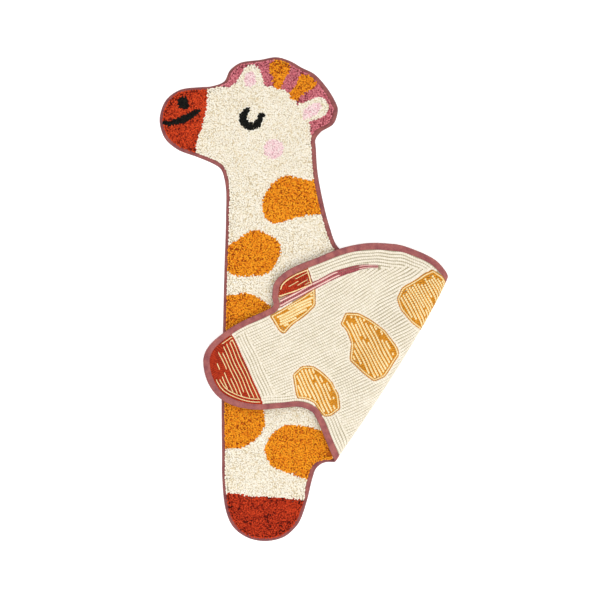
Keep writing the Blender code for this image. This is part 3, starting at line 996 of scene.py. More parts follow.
def planting_tree():
    """Plants one of the shapes on each point, standing up along `up` and heading along `ahead`."""
    tree = bpy.data.node_groups.new("plant_shapes", "GeometryNodeTree")
    tree.interface.new_socket("Geometry", in_out="INPUT", socket_type="NodeSocketGeometry")
    for title, kind, value in PLANTING_INPUTS:
        socket = tree.interface.new_socket(title, in_out="INPUT", socket_type=kind)
        if value is not None:
            socket.default_value = value
    tree.interface.new_socket("Geometry", in_out="OUTPUT", socket_type="NodeSocketGeometry")
    given = add_node(tree, "NodeGroupInput").outputs

    def scatter(kind, offset, least, most):
        """A random number or vector for each point, with a seed of its own."""
        both = {"Value": given["Seed"], "Value_001": offset}
        seed = maths(tree, "ShaderNodeMath", "ADD", both, "Value")
        least_socket, most_socket = RANDOM_LIMITS[kind]
        sockets = {least_socket: least, most_socket: most, "Seed": seed}
        return output(add_node(tree, "FunctionNodeRandomValue", {"data_type": kind}, sockets), "Value")

    def sway(offset, amount, vector):
        """The vector with a little randomness added."""
        loose = scatter("FLOAT_VECTOR", offset, (-1.0, -1.0, -1.0), (1.0, 1.0, 1.0))
        scaled = maths(tree, "ShaderNodeVectorMath", "SCALE", {"Vector": loose, "Scale": amount}, "Vector")
        both = {"Vector": scaled, "Vector_001": vector}
        return maths(tree, "ShaderNodeVectorMath", "ADD", both, "Vector")

    def around_one(offset, amount):
        """A random factor a little under or over 1."""
        both = {"Value": scatter("FLOAT", offset, -1.0, 1.0), "Value_001": amount}
        change = maths(tree, "ShaderNodeMath", "MULTIPLY", both, "Value")
        return maths(tree, "ShaderNodeMath", "ADD", {"Value": change, "Value_001": 1.0}, "Value")

    points = add_node(tree, "GeometryNodeMeshToPoints", None, {"Mesh": given["Geometry"]})
    shapes = add_node(tree, "GeometryNodeCollectionInfo", None,
                      {"Collection": given["Shapes"], "Separate Children": True, "Reset Children": True})
    turned = add_node(tree, "FunctionNodeAxesToRotation", {"primary_axis": "Z", "secondary_axis": "X"},
                      {"Primary Axis": sway(11, given["Lean"], named_vector(tree, "up")),
                       "Secondary Axis": sway(23, given["Twist"], named_vector(tree, "ahead"))})
    wide = around_one(37, given["Size Variation"])
    tall = around_one(41, given["Height Variation"])
    vary = add_node(tree, "ShaderNodeCombineXYZ", None, {"X": wide, "Y": wide, "Z": tall})
    both = {"Vector": named_vector(tree, "size"), "Vector_001": output(vary, "Vector")}
    sized = maths(tree, "ShaderNodeVectorMath", "MULTIPLY", both, "Vector")
    planted = add_node(tree, "GeometryNodeInstanceOnPoints", None,
                       {"Points": output(points, "Points"), "Instance": output(shapes, "Instances"),
                        "Pick Instance": True, "Instance Index": scatter("INT", 53, 0, MOST_SHAPES),
                        "Rotation": output(turned, "Rotation"), "Scale": sized})
    tone = scatter("FLOAT", 67, 0.0, 1.0)
    toned = add_node(tree, "GeometryNodeStoreNamedAttribute", {"data_type": "FLOAT", "domain": "INSTANCE"},
                     {"Geometry": output(planted, "Instances"), "Name": "tone", "Value": tone})
    real = add_node(tree, "GeometryNodeRealizeInstances", None, {"Geometry": output(toned, "Geometry")})
    dressed = add_node(tree, "GeometryNodeSetMaterial", None,
                       {"Geometry": output(real, "Geometry"), "Material": given["Finish"]})
    add_node(tree, "NodeGroupOutput", None, {"Geometry": output(dressed, "Geometry")})
    return tree


PLANT_SHAPES = planting_tree()
print("planting tree:", len(PLANT_SHAPES.nodes), "nodes")

# %% [markdown]
# ### From the tree to a plain mesh
# The tree could stay on the object as a modifier. A plain mesh is safer to hand on: it looks the same in
# any program. So the modifier's inputs are set before Blender first works it out, the result is copied
# into a new mesh, and the object that carried the points is thrown away.

# %% Plant shapes on points
def triangles_in(mesh):
    return sum(len(polygon.vertices) - 2 for polygon in mesh.polygons)


def set_inputs(modifier, values):
    """Sets a modifier's inputs by the identifiers of the tree's sockets."""
    for item in modifier.node_group.interface.items_tree:
        if item.item_type == "SOCKET" and item.in_out == "INPUT" and item.name in values:
            modifier[item.identifier] = values[item.name]


def plant(name, places, ups, aheads, sizes, shapes, finish, **inputs):
    """One piece: a shape on every place, in metres, as a plain mesh object at the origin."""
    carrier_mesh = bpy.data.meshes.new(name + "_points")
    carrier_mesh.from_pydata(places.tolist(), [], [])
    for title, values in (("up", ups), ("ahead", aheads), ("size", sizes)):
        attribute = carrier_mesh.attributes.new(title, "FLOAT_VECTOR", "POINT")
        attribute.data.foreach_set("vector", np.asarray(values, np.float32).ravel())
    carrier = bpy.data.objects.new(name + "_points", carrier_mesh)
    bpy.context.scene.collection.objects.link(carrier)
    modifier = carrier.modifiers.new("planting", "NODES")
    modifier.node_group = PLANT_SHAPES
    set_inputs(modifier, {"Shapes": shapes, "Finish": finish, **inputs})
    graph = bpy.context.evaluated_depsgraph_get()
    grown = carrier.evaluated_get(graph)
    mesh = bpy.data.meshes.new_from_object(grown, preserve_all_data_layers=True, depsgraph=graph)
    mesh.name = name
    mesh.shade_smooth()
    piece = bpy.data.objects.new(name, mesh)
    bpy.context.scene.collection.objects.link(piece)
    bpy.data.objects.remove(carrier)
    bpy.data.meshes.remove(carrier_mesh)
    print(f"{name}: {len(places)} shapes, {triangles_in(mesh)} triangles")
    return piece


print("inputs of the tree:", ", ".join(title for title, _, _ in PLANTING_INPUTS))

# %% [markdown]
# ## The tufts
# A cut tuft is a small bundle of yarn that spreads at its tip, with an uneven domed end. From above only
# the ends show, so a drop that stands on its point is enough: a wide ring, a smaller one above it, and a
# tip. Five shapes, turned and leant at random, keep the pile from looking printed.

# %% Shapes of a tuft
TUFT_SIDES = 6
TUFT_SHAPES = 5
CROWN_TURN = 0.3
SHAPE_SEED = 7


def shape_collection(title, meshes):
    """Shapes kept out of the scene, for Geometry Nodes to pick from."""
    collection = bpy.data.collections.new(title)
    for mesh in meshes:
        collection.objects.link(bpy.data.objects.new(mesh.name, mesh))
    return collection


def ring(bm, angles, radii, heights, stretch=(1.0, 1.0)):
    """Points round the upright axis."""
    return [
        bm.verts.new((stretch[0] * r * math.cos(a), stretch[1] * r * math.sin(a), h))
        for a, r, h in zip(angles, radii, heights)
    ]


def join_rings(bm, lower, upper):
    for i in range(len(lower)):
        k = (i + 1) % len(lower)
        bm.faces.new((lower[i], lower[k], upper[k], upper[i]))


def join_tip(bm, circle, tip):
    for i in range(len(circle)):
        bm.faces.new((circle[i], circle[(i + 1) % len(circle)], tip))


def finished_shape(title, bm, numbers):
    """The shape as a mesh, with named numbers that are worked out from each point."""
    mesh = bpy.data.meshes.new(title)
    bm.to_mesh(mesh)
    bm.free()
    for name, number in numbers.items():
        attribute = mesh.attributes.new(name, "FLOAT", "POINT")
        attribute.data.foreach_set("value", np.array([number(vert.co) for vert in mesh.vertices], np.float32))
    return mesh


def tuft_shape(title, draw):
    """A tuft one unit high and about one unit in radius, standing on its point."""
    bm = bmesh.new()
    angles = np.arange(TUFT_SIDES) * 2 * math.pi / TUFT_SIDES
    oval = (draw.uniform(0.95, 1.2), draw.uniform(0.85, 1.0))
    foot = bm.verts.new((0.0, 0.0, 0.0))
    radii, heights = draw.uniform(0.9, 1.1, TUFT_SIDES), draw.uniform(0.62, 0.78, TUFT_SIDES)
    shoulder = ring(bm, angles, radii, heights, oval)
    radii, heights = draw.uniform(0.5, 0.7, TUFT_SIDES), draw.uniform(0.86, 0.96, TUFT_SIDES)
    crown = ring(bm, angles + CROWN_TURN, radii, heights, oval)
    tip = bm.verts.new((*draw.uniform(-0.2, 0.2, 2), draw.uniform(0.96, 1.04)))
    join_tip(bm, shoulder[::-1], foot)
    join_rings(bm, shoulder, crown)
    join_tip(bm, crown, tip)
    return finished_shape(title, bm, {"rise": lambda place: min(max(place.z, 0.0), 1.0)})


shape_draw = np.random.default_rng(SHAPE_SEED)
TUFTS = shape_collection("tuft_shapes", [tuft_shape(f"tuft_{i}", shape_draw) for i in range(TUFT_SHAPES)])

# %% [markdown]
# ## Planting the pile
# The needle follows the edge once and then fills the inside with close rows, a little unevenly. So there
# is one row along the tape, and inside it a hexagonal grid with some jitter. At the rug's edge the tufts
# lean out over the tape, as there is nothing there to hold them upright. The whole pile is also brushed
# to the left.

# %% Places of the tufts
TUFT_PITCH = 3.4
EDGE_PITCH = 3.1
TUFT_JITTER = 0.5
GRID_STARTS = 0.6 * TUFT_PITCH  # the grid begins this far inside the row along the edge
EDGE_SLACK = 0.3
PLACE_SEED = 21


def tuft_places():
    """A row along the edge, and a jittered hexagonal grid inside it."""
    low, high = OUTLINE.min(axis=0), OUTLINE.max(axis=0)
    rows = np.arange(low[1], high[1], TUFT_PITCH * math.sqrt(3) / 2)
    columns = np.arange(low[0], high[0], TUFT_PITCH)
    x, y = np.meshgrid(columns, rows)
    x[1::2] += TUFT_PITCH / 2
    draw = np.random.default_rng(PLACE_SEED)
    grid = np.column_stack((x.ravel(), y.ravel()))
    grid += draw.normal(0.0, TUFT_JITTER, grid.shape)
    grid_edge, to_edge = nearest(grid, OUTLINE)
    own_rim = RIM + WIDER_ON_THE_RIGHT * face_to_the_right(grid, to_edge / grid_edge[:, None])
    grid = grid[within(grid, OUTLINE) & (grid_edge > own_rim + GRID_STARTS)]
    ways = inward(OUTLINE)
    edge_rim = RIM + WIDER_ON_THE_RIGHT * face_to_the_right(OUTLINE, -ways)
    along_edge, _ = evenly(OUTLINE + ways * edge_rim[:, None], EDGE_PITCH)
    along_edge = along_edge[nearest(along_edge, OUTLINE)[0] > RIM - EDGE_SLACK]
    along_edge += draw.normal(0.0, TUFT_JITTER, along_edge.shape)
    return np.vstack((along_edge, grid))


places = tuft_places()
edge, to_edge = nearest(places, OUTLINE)
outwards = to_edge / edge[:, None]
hidden = covered(places)
planted = (hidden < PEEP) | (edge < RIM_BAND)
places, edge, outwards = places[planted], edge[planted], outwards[planted]
print(f"{len(places)} tufts are planted of the rug's pile")

# %% [markdown]
# ### Which way a tuft leans
# A tuft's foot and its tip are both folded with the cloth, and the way from one to the other is the way
# it stands. On the fold the tips fan out and underneath they close up, with no rule of their own. The
# brushing is a small shift of every tip.

# %% Stand the tufts up
TUFT_FOOT = 4.6
TUFT_RADIUS = 2.3
LEAN_OUT = 3.0
LEAN_REACH = 6.0
LESS_ON_THE_LEFT = 1.8  # along the left edges the tape shows as a thin line, so the tufts lean out less
BRUSHED = np.array((-0.7, 0.3))
STANDS_BACK = (-205.0, 298.0, 70.0, 3.6)  # under the throat the pile stands back: place, reach, and how far
BORDER_TEETH = 0.9  # how ragged the borders between two yarns are

x, y, reach, amount = STANDS_BACK
back = amount * np.exp(-(((places[:, 0] - x) ** 2 + (places[:, 1] - y) ** 2) / reach**2))
lean = (LEAN_OUT - back) * (1.0 - face_to_the_right(places, outwards))
lean -= LESS_ON_THE_LEFT * facing_side(-outwards[:, 0])
lean *= np.exp(-(((edge - RIM) / LEAN_REACH) ** 2))
tips = folded(places + outwards * lean[:, None] + BRUSHED, PILE_TOP)
feet = folded(places, TUFT_FOOT)
upright = tips - feet
tall = np.linalg.norm(upright, axis=1)
tuft_sizes = np.column_stack((np.full(len(tall), TUFT_RADIUS), np.full(len(tall), TUFT_RADIUS), tall)) * MM
headings = np.random.default_rng(PLACE_SEED + 1).normal(size=(len(tall), 3))
headings /= np.linalg.norm(headings, axis=1)[:, None]
tuft_yarns = yarn_at(places, BORDER_TEETH)
print(f"the tufts stand {tall.mean():.1f} mm high on average")

# %% [markdown]
# ### One piece for each yarn
# The whole pile could be one mesh with many materials. A piece for each yarn is easier to find and to
# recolour, and none grows too large for the export.

# %% Plant the pile
NECK_END = 150.0  # the cream pile is the largest, so it is kept as two pieces, above and below this height
PILES = {
    "pile_cream_head": (tuft_yarns == "cream") & (places[:, 1] > NECK_END),
    "pile_cream_body": (tuft_yarns == "cream") & (places[:, 1] <= NECK_END),
    "pile_spots": tuft_yarns == "orange",
    "pile_hooves": tuft_yarns == "dark red",
    "pile_muzzle": tuft_yarns == "rust",
    "pile_crest": tuft_yarns == "mauve",
    "pile_ears_and_cheek": tuft_yarns == "pink",
    "pile_eye_and_smile": tuft_yarns == "black",
}
TUFT_CHANCE = {"Size Variation": 0.12, "Height Variation": 0.05, "Lean": 0.13, "Twist": 0.0}
PILE_SEED = 100
pile_pieces = []
for seed, (name, chosen) in enumerate(PILES.items()):
    ups = upright[chosen] / tall[chosen, None]
    finish = PILE_FINISHES[tuft_yarns[chosen][0]]
    pile_pieces.append(plant(name, feet[chosen] * MM, ups, headings[chosen], tuft_sizes[chosen],
                             TUFTS, finish, **TUFT_CHANCE, Seed=PILE_SEED + seed))

# %% [markdown]
# ## Rows of stitches on the back
# The back shows how the rug was punched. Each motif is outlined and then filled with rows, the edge has
# rows that follow it, and the cream ground is filled with long straight rows. Python lays out the rows on
# the flat cloth as points with a heading, and the planting tree lays a stitch on each point. The stitches
# underneath are seen only when the rug is turned over, so they are longer and plainer.

# %% Shapes of a stitch
STITCH_SHAPES = 4
STITCH_SIDES = 8


def stitch_numbers():
    """How the plies wind along a stitch, and how near a point is to its ends."""
    return {"ply": lambda place: 3 * place.x + 1.5 * place.y, "end": lambda place: min(2 * abs(place.x), 1.0)}


def stitch_shape(title, draw):
    """A stitch one unit long, wide and high: a low rounded lump with eight sides."""
    bm = bmesh.new()
    angles = (np.arange(STITCH_SIDES) + 0.5) * 2 * math.pi / STITCH_SIDES
    reach = 0.5 / math.cos(math.pi / STITCH_SIDES)
    foot = ring(bm, angles, [reach] * STITCH_SIDES, [0.0] * STITCH_SIDES)
    radii = reach * draw.uniform(0.76, 0.86, STITCH_SIDES)
    shoulder = ring(bm, angles, radii, draw.uniform(0.62, 0.74, STITCH_SIDES))
    top = bm.verts.new((*draw.uniform(-0.08, 0.08, 2), 1.0))
    join_rings(bm, foot, shoulder)
    join_tip(bm, shoulder, top)
    bm.faces.new(foot[::-1])
    return finished_shape(title, bm, stitch_numbers())


def plain_stitch(title):
    """A stitch as a low flat-topped strip."""
    bm = bmesh.new()
    angles = (np.arange(4) + 0.5) * math.pi / 2
    foot = ring(bm, angles, [0.7] * 4, [0.0] * 4)
    top = ring(bm, angles, [0.52] * 4, [0.9] * 4)
    join_rings(bm, foot, top)
    bm.faces.new(top)
    bm.faces.new(foot[::-1])
    return finished_shape(title, bm, stitch_numbers())


stitch_meshes = [stitch_shape(f"stitch_{i}", shape_draw) for i in range(STITCH_SHAPES)]
STITCHES = shape_collection("stitch_shapes", stitch_meshes)
PLAIN_STITCHES = shape_collection("plain_stitch_shapes", [plain_stitch("plain_stitch")])

# %% [markdown]
# ### Rows before they are sewn
# Every row is either straight or follows a curve. Both kinds give the same four things for each stitch:
# its place, its heading, its number in the row and the row's number. They could be drawn as curves with a
# bevel, but single stitches can be left out one by one, wherever a motif begins.

# %% Rows as points with headings
ROW_PITCH = 6.6  # from row to row in the ground
STRAND_PITCH = 3.6  # from line to ridge in a motif
STITCH_RUN = 5.0
CLEAR_OF_TAPE = TAPE_ON_BACK - 0.2
LANE_SEED = 5
LOOP_SLACK = 0.35


class Rows:
    """Stitches laid out on the flat cloth: places, headings, numbers along the row, and the rows' numbers."""

    def __init__(self, places, headings, numbers, rows):
        self.places = places
        self.headings = headings
        self.numbers = numbers
        self.rows = rows

    def kept(self, mask):
        return Rows(self.places[mask], self.headings[mask], self.numbers[mask], self.rows[mask])


def straight_rows(curve, heading, pitch, anchor=(0.0, 0.0)):
    """Straight rows with this heading that fill the box round a curve; row 0 goes through the anchor."""
    across = np.array((-heading[1], heading[0]))
    side, reach = (curve - anchor) @ across, (curve - anchor) @ heading
    lanes = np.arange(math.floor(side.min() / pitch), math.ceil(side.max() / pitch) + 1)
    marks = np.arange(reach.min(), reach.max(), STITCH_RUN)
    lane, mark = np.meshgrid(lanes, marks, indexing="ij")
    mark = mark + np.random.default_rng(LANE_SEED).uniform(0.0, STITCH_RUN, len(lanes))[:, None]
    places = anchor + np.outer(lane.ravel() * pitch, across) + np.outer(mark.ravel(), heading)
    headings = np.tile(heading, (lane.size, 1))
    numbers = np.tile(np.arange(len(marks)), len(lanes))
    return Rows(places, headings, numbers, np.repeat(lanes, len(marks)))


def rows_along(curve, depths):
    """Rows that follow a closed curve at these depths inside it, without the loops of a plain offset."""
    places, headings, numbers, rows = [], [], [], []
    ways = inward(curve)
    for number, depth in enumerate(depths):
        points, ahead = evenly(curve + ways * depth, STITCH_RUN)
        clear = nearest(points, curve)[0] > abs(depth) - LOOP_SLACK
        places.append(points[clear])
        headings.append(ahead[clear])
        numbers.append(np.arange(len(points))[clear])
        rows.append(np.full(clear.sum(), number))
    return Rows(np.vstack(places), np.vstack(headings), np.concatenate(numbers), np.concatenate(rows))


FIRST_ROW = CLEAR_OF_TAPE + ROW_PITCH / 2
print(f"one row along the edge has {len(rows_along(OUTLINE, (FIRST_ROW,)).places)} stitches")

# %% [markdown]
# ## The motifs' rows
# On the back a motif shows thin lines of its own yarn between ridges of a paler one. Two lines go round
# it with a ridge between them, and the inside is filled with straight rows. Here and there the lines run
# together into solid colour, where the needle turned back. The layout is decided by depth alone: how deep
# a stitch is inside its motif, with the tape's edge counted as a border too.

# %% Lay rows, and find how deep they are
FULL = 1.6  # the height of a ridge over the base cloth
LOW = 1.1  # the height of the lines between the ridges
STITCH_OVERLAP = 1.3
LONG_OVERLAP = 1.8  # the stitches of a ridge run further into each other
LAID = []  # (yarn, rows, widths, height, overlap)
UPWARDS = np.array((0.0, 1.0))
SIDEWAYS = np.array((1.0, 0.0))
NOISE_WAVES = 6
ANY_PHASE = 6.28


def lay(yarn, rows, width, height, overlap=STITCH_OVERLAP):
    LAID.append((yarn, rows, np.broadcast_to(width, len(rows.places)), height, overlap))


def as_seen(points):
    return folded(points, 0.0)[:, :2]


def depth_on_back(points, curve):
    return np.minimum(depth_in(points, curve), depth_in(points, OUTLINE) - CLEAR_OF_TAPE)


def soft_noise(points, seed):
    """A smooth random number for each point, about 0.3 either way, from crossing waves one unit long."""
    draw = np.random.default_rng(seed)
    total = np.zeros(len(points))
    for _ in range(NOISE_WAVES):
        way = draw.normal(size=2)
        total += np.sin(points @ way * 2 * math.pi / np.linalg.norm(way) + draw.uniform(0, ANY_PHASE))
    return total / NOISE_WAVES


def long_noise(rows, length, width, seed):
    """Soft noise whose blotches lie along the rows."""
    ahead = rows.headings
    along = (rows.places * ahead).sum(axis=1)
    across = rows.places[:, 1] * ahead[:, 0] - rows.places[:, 0] * ahead[:, 1]
    return soft_noise(np.column_stack((along / length, across / width)), seed)


print("noise at one place:", soft_noise(np.array([[0.3, 0.7]]), 1).round(2))

# %% Where the lines of a motif run together
SOLID_AT = {  # places as seen, and how far round them
    "spot on the haunch": ((150, -47, 7), (187, -82, 11), (204, -112, 11), (204, -130, 8), (127, -153, 9),
                           (107, -122, 5), (168, -176, 6)),
    "spot on the thigh": ((32, -165, 8), (50, -187, 8), (65, -213, 9), (72, -232, 9)),
    "spot by the tail": ((-66, -48, 11), (-54, -60, 8)),
    "spot on the fold": ((244, -52, 10), (256, -62, 9), (218, -8, 5), (222, 16, 6), (262, 40, 8),
                         (284, 52, 9)),
    "tail tuft": ((-42, 22, 9),),
}
SOLID_RAGGED = 9.0
SOLID_BLOTCH = (20.0, 7.0)  # the length and width of its ragged border's teeth


def near_solid(title, rows, seed):
    """Whether each stitch is where its motif is solid, with a ragged border."""
    seen = as_seen(rows.places)
    ragged = SOLID_RAGGED * long_noise(rows, *SOLID_BLOTCH, seed)
    solid = np.zeros(len(seen), bool)
    for x, y, reach in SOLID_AT.get(title, ()):
        solid |= np.hypot(seen[:, 0] - x, seen[:, 1] - y) < reach + ragged
    return solid


print(sum(len(found) for found in SOLID_AT.values()), "solid places")

# %% Fill the spots and the tail's tuft
LINE, LINE_WIDTH = 0.9, 1.6  # how deep inside the motif its outermost line lies, and its width
RING, RING_WIDTH = 4.0, 3.1  # the same of the pale ring
RING_LINE, RING_LINE_WIDTH = 7.0, 5.0  # and of the line inside it
FILLING_FROM = RING_LINE + 1.4
UNDERLAY = 6.0  # the width of the low rows under the ridges, wide enough to leave no gap
BLOTCH = (45.0, 9.0)  # the length and width of the places where the lines run together
SPOT_SEED = 300


def border_rows(curve, depth):
    """The rows round a motif at one depth, which follow the tape where the motif reaches it."""
    own = rows_along(curve, (depth,))
    by_tape = rows_along(OUTLINE, (CLEAR_OF_TAPE + depth,))
    return (own.kept(depth_on_back(own.places, curve) > depth - 0.4),
            by_tape.kept(depth_in(by_tape.places, curve) > depth))


def in_the_ring(title, places):
    """Whether a stitch belongs to the pale ring. The tail's tuft has none at its left end."""
    x, y = as_seen(places).T
    return (title != "tail tuft") | (y > 0.42 * x + 46.0) | (y < 0.45 * x + 31.0) | (x > 9.0)


def lay_spot(title, yarn, ridge, curve, ridge_width, heading, seed, pitch=STRAND_PITCH, closes=0.42):
    """A motif with a thin line, a ring and a second line round it, and straight rows inside."""
    for row in border_rows(curve, LINE):
        lay(yarn, row, LINE_WIDTH, FULL)
    for row in border_rows(curve, RING):
        lay(yarn, row, UNDERLAY, LOW)
        lay(ridge, row.kept(in_the_ring(title, row.places)), RING_WIDTH, FULL, LONG_OVERLAP)
    for row in border_rows(curve, RING_LINE):
        lay(yarn, row, RING_LINE_WIDTH, LOW)
    filling = straight_rows(curve, heading, pitch)
    filling = filling.kept(depth_on_back(filling.places, curve) > FILLING_FROM)
    closed = long_noise(filling, *BLOTCH, seed + 1) > closes
    closed |= near_solid(title, filling, seed)
    lay(yarn, filling, UNDERLAY, LOW)
    lay(ridge, filling.kept((filling.rows % 2 == 0) & ~closed), ridge_width, FULL, LONG_OVERLAP)


for number, (title, yarn, curve) in enumerate(PATCHES):
    seed = SPOT_SEED + number
    if title == "tail tuft":
        lay_spot(title, yarn, "pale", curve, 1.7, UPWARDS, seed, closes=0.15)
    elif title == "spot by the tail":
        lay_spot(title, yarn, "pale", curve, 5.7, UPWARDS, seed, pitch=3.1, closes=1.0)
    elif yarn == "orange":
        lay_spot(title, yarn, "pale", curve, 4.7, SIDEWAYS, seed)
    elif yarn not in ("cream", "dark red"):
        lay_spot(title, yarn, yarn, curve, 4.2, SIDEWAYS, seed)
print(sum(len(item[1].places) for item in LAID), "stitches so far")

# %% [markdown]
# ### The hooves' rows
# A hoof's rows run along its upper border. Beside the tape two pale lines follow it at the hoof's two
# ends, and between them the red is nearly solid. A hoof is filled like a spot, but from that one border,
# so it has a function of its own.

# %% Fill the hooves
HOOF_LINES = (2.0, 5.4, 8.8, 12.2)  # how far inside the tape the lines lie that follow it
HOOF_YARNS = ("dark red", "pale", "dark red", "pale")
HOOF_SOLID = (-184.0, -108.0)  # between these heights, as seen, the red is solid beside the tape
SOLID_FADE = 8.0
SOLID_REACH = 20.0
HOOF_BORDERS = {"hind hoof": ((-161, -83), (-92, -235)), "front hoof": ((-180, -450), (0, -456))}
HOOF_EDGE, HOOF_EDGE_WIDTH = 1.3, 3.6
INSIDE_EDGE = 2.6
FIRST_STRAND = np.array((0.0, 5.0))
THIN = 2.3
FEW_RIDGES, MOST_RIDGES = 0.12, 0.36
HOOF_BLOTCH = (60.0, 8.0)
HOOF_SEED = 340


def lay_hoof(title, curve, seed):
    """A hoof: one line round it, lines that follow the tape, and straight rows along its upper border."""
    border = np.array(HOOF_BORDERS[title], float)
    if title == "hind hoof":
        border = laid_flat(border)
    heading = (border[1] - border[0]) / math.dist(*border)
    row = rows_along(curve, (HOOF_EDGE,))
    row = row.kept(depth_in(row.places, OUTLINE) > CLEAR_OF_TAPE + 1.0)
    lay("dark red", row, HOOF_EDGE_WIDTH, FULL, LONG_OVERLAP)
    for yarn, depth in zip(HOOF_YARNS, HOOF_LINES):
        row = rows_along(OUTLINE, (CLEAR_OF_TAPE + depth,))
        row = row.kept(depth_in(row.places, curve) > INSIDE_EDGE)
        height = as_seen(row.places)[:, 1]
        pale = (yarn == "pale") & ((height < HOOF_SOLID[0]) | (height > HOOF_SOLID[1] + depth))
        lay("pale", row.kept(pale), THIN, FULL, LONG_OVERLAP)
        lay("dark red", row, UNDERLAY, LOW)
    middle = border.mean(axis=0)
    above = depth_in((middle + FIRST_STRAND)[None], curve)[0] > 0
    start = border[0] + (FIRST_STRAND if above else -FIRST_STRAND)
    filling = straight_rows(curve, heading, STRAND_PITCH, start)
    from_tape = depth_in(filling.places, OUTLINE) - CLEAR_OF_TAPE
    clear = (depth_in(filling.places, curve) > INSIDE_EDGE) & (from_tape > HOOF_LINES[-1] + 1.6)
    filling, from_tape = filling.kept(clear), from_tape[clear]
    height = as_seen(filling.places)[:, 1]
    solid = (height > HOOF_SOLID[0] + SOLID_FADE) & (height < HOOF_SOLID[1] - SOLID_FADE)
    share = np.where(solid & (from_tape < SOLID_REACH), FEW_RIDGES, MOST_RIDGES)
    ridges = (filling.rows % 2 == 0) & (long_noise(filling, *HOOF_BLOTCH, seed) < share)
    lay("pale", filling.kept(ridges), THIN, FULL, LONG_OVERLAP)
    lay("dark red", filling, UNDERLAY, LOW)


for number, (title, yarn, curve) in enumerate(PATCHES):
    if yarn == "dark red" and title != "tail tuft":
        lay_hoof(title, curve, HOOF_SEED + number)
print(sum(len(item[1].places) for item in LAID), "stitches in the motifs")

# %% [markdown]
# ### The tail
# The tail is sewn as a few strands side by side, mauve and pink by turns, over wider low ones that close
# the gaps between them. Each strand is the tail's middle line moved sideways, and it slims with the tail.
# On a stretch near its end the mauve strands run together, and the pink ones are left out there.

# %% Lay the tail
TAIL_STRANDS = (  # yarn, how far over the tail's middle, width, height
    ("mauve", 6.8, 2.2, FULL),
    ("pink", 3.9, 3.6, FULL),
    ("mauve", -0.6, 3.6, FULL),
    ("pink", -4.8, 3.6, FULL),
    ("mauve", -7.8, 2.0, FULL),
    ("mauve", 4.4, 5.6, LOW),
    ("mauve", -0.6, 5.6, LOW),
    ("mauve", -4.8, 5.6, LOW),
    ("cream", 10.8, 5.0, LOW),
    ("cream", -10.8, 5.0, LOW),
)
TAIL_SOLID = (0.62, 0.84)  # the shares of its length between which the pink strands are left out
CLEAR_OF_PATCHES = -0.8


def in_a_patch(points):
    """Whether each point is in or close beside a patch that isn't cream."""
    depths = [depth_in(points, curve) for _, yarn, curve in PATCHES if yarn != "cream"]
    return np.max(depths, axis=0) > CLEAR_OF_PATCHES


for yarn, offset, width, height in TAIL_STRANDS:
    line, slim = tail_strand(offset)
    points, ahead = evenly(laid_flat(line), STITCH_RUN, closed=False)
    share = np.linspace(0.0, 1.0, len(points))
    in_solid = (share > TAIL_SOLID[0]) & (share < TAIL_SOLID[1])
    kept = (depth_in(points, OUTLINE) > CLEAR_OF_TAPE + 1.5) & ~(in_solid & (yarn == "pink"))
    if yarn == "cream":
        kept &= ~in_a_patch(points)
    strand = Rows(points[kept], ahead[kept], np.arange(kept.sum()), np.zeros(kept.sum(), int))
    widths = width * np.interp(share, np.linspace(0.0, 1.0, len(slim)), slim)[kept]
    lay(yarn, strand, widths, height, LONG_OVERLAP if yarn == "pink" else STITCH_OVERLAP)
print(len(TAIL_STRANDS), "strands in the tail")

# %% [markdown]
# ## The ground's rows
# A stitch of the ground is kept where it is clear of every motif. Near the rump the rows follow the edge
# down to the tail, next to a hoof they follow the hoof, and along the hind leg a few follow the tape.
# Everywhere else they run straight, but near the fold's upper end they swing, as the needle's rows do on
# a real rug.

# %% Fill the ground
GROUND_WIDTH = 5.9
GROUND_OVERLAP = 1.7
UNDER = FULL - 0.3  # the straight rows run a little under their neighbours, so that no gap is left
CLEAR_OF_MOTIF = 0.8  # the ground's stitches stay this far from a motif
BESIDE = -2.2  # a low row of the ground follows each motif, this far outside it
BESIDE_WIDTH = 5.0
BESIDE_CLEAR = 1.4
SWING_AT = (250.0, 15.0)
SWING = 0.14
SWING_REACH = 75.0
EDGE_ROWS = 2
RUMP_ROWS = 6
RUMP_ROWS_AT_FOLD = 2
RUMP_BAND = 62.0
RUMP_BAND_NARROWS = (180.0, 300.0)
LEG_ROWS = {"hind leg": 3, "inside of the hind leg": 5}
LEG_BAND = 50.0
HOOF_ROWS = 5
SHARED = 1.5  # the straight rows start a little inside the band of rows that follow the edge
HOOVES = [curve for title, _, curve in PATCHES if title.endswith("hoof")]


def clear_of_motifs(points):
    """How far each place is from every motif of the back."""
    clear = -depth_in_stroke(points, TAIL[2])
    for _, yarn, curve in PATCHES:
        if yarn != "cream":
            clear = np.minimum(clear, -depth_in(points, curve))
    return clear


def clear_of_hooves(points):
    return np.minimum(*(-depth_in(points, curve) for curve in HOOVES))


def edge_rows_at(points):
    """How many rows of the ground follow the edge, at each place."""
    count = np.full(len(points), float(EDGE_ROWS))
    for name, rows in LEG_ROWS.items():
        stretch = laid_flat(np.array(UPPER_OUTLINE[name], float))
        count[nearest(points, stretch, closed=False)[0] < LEG_BAND] = rows
    rump = laid_flat(np.array(UPPER_OUTLINE["rump"], float))
    by_rump = nearest(points, rump, closed=False)[0] < RUMP_BAND
    seen = folded(points, 0.0)
    narrowing = np.interp(seen[:, 0], RUMP_BAND_NARROWS, (RUMP_ROWS, RUMP_ROWS_AT_FOLD))
    return np.where(by_rump, np.round(narrowing), count)


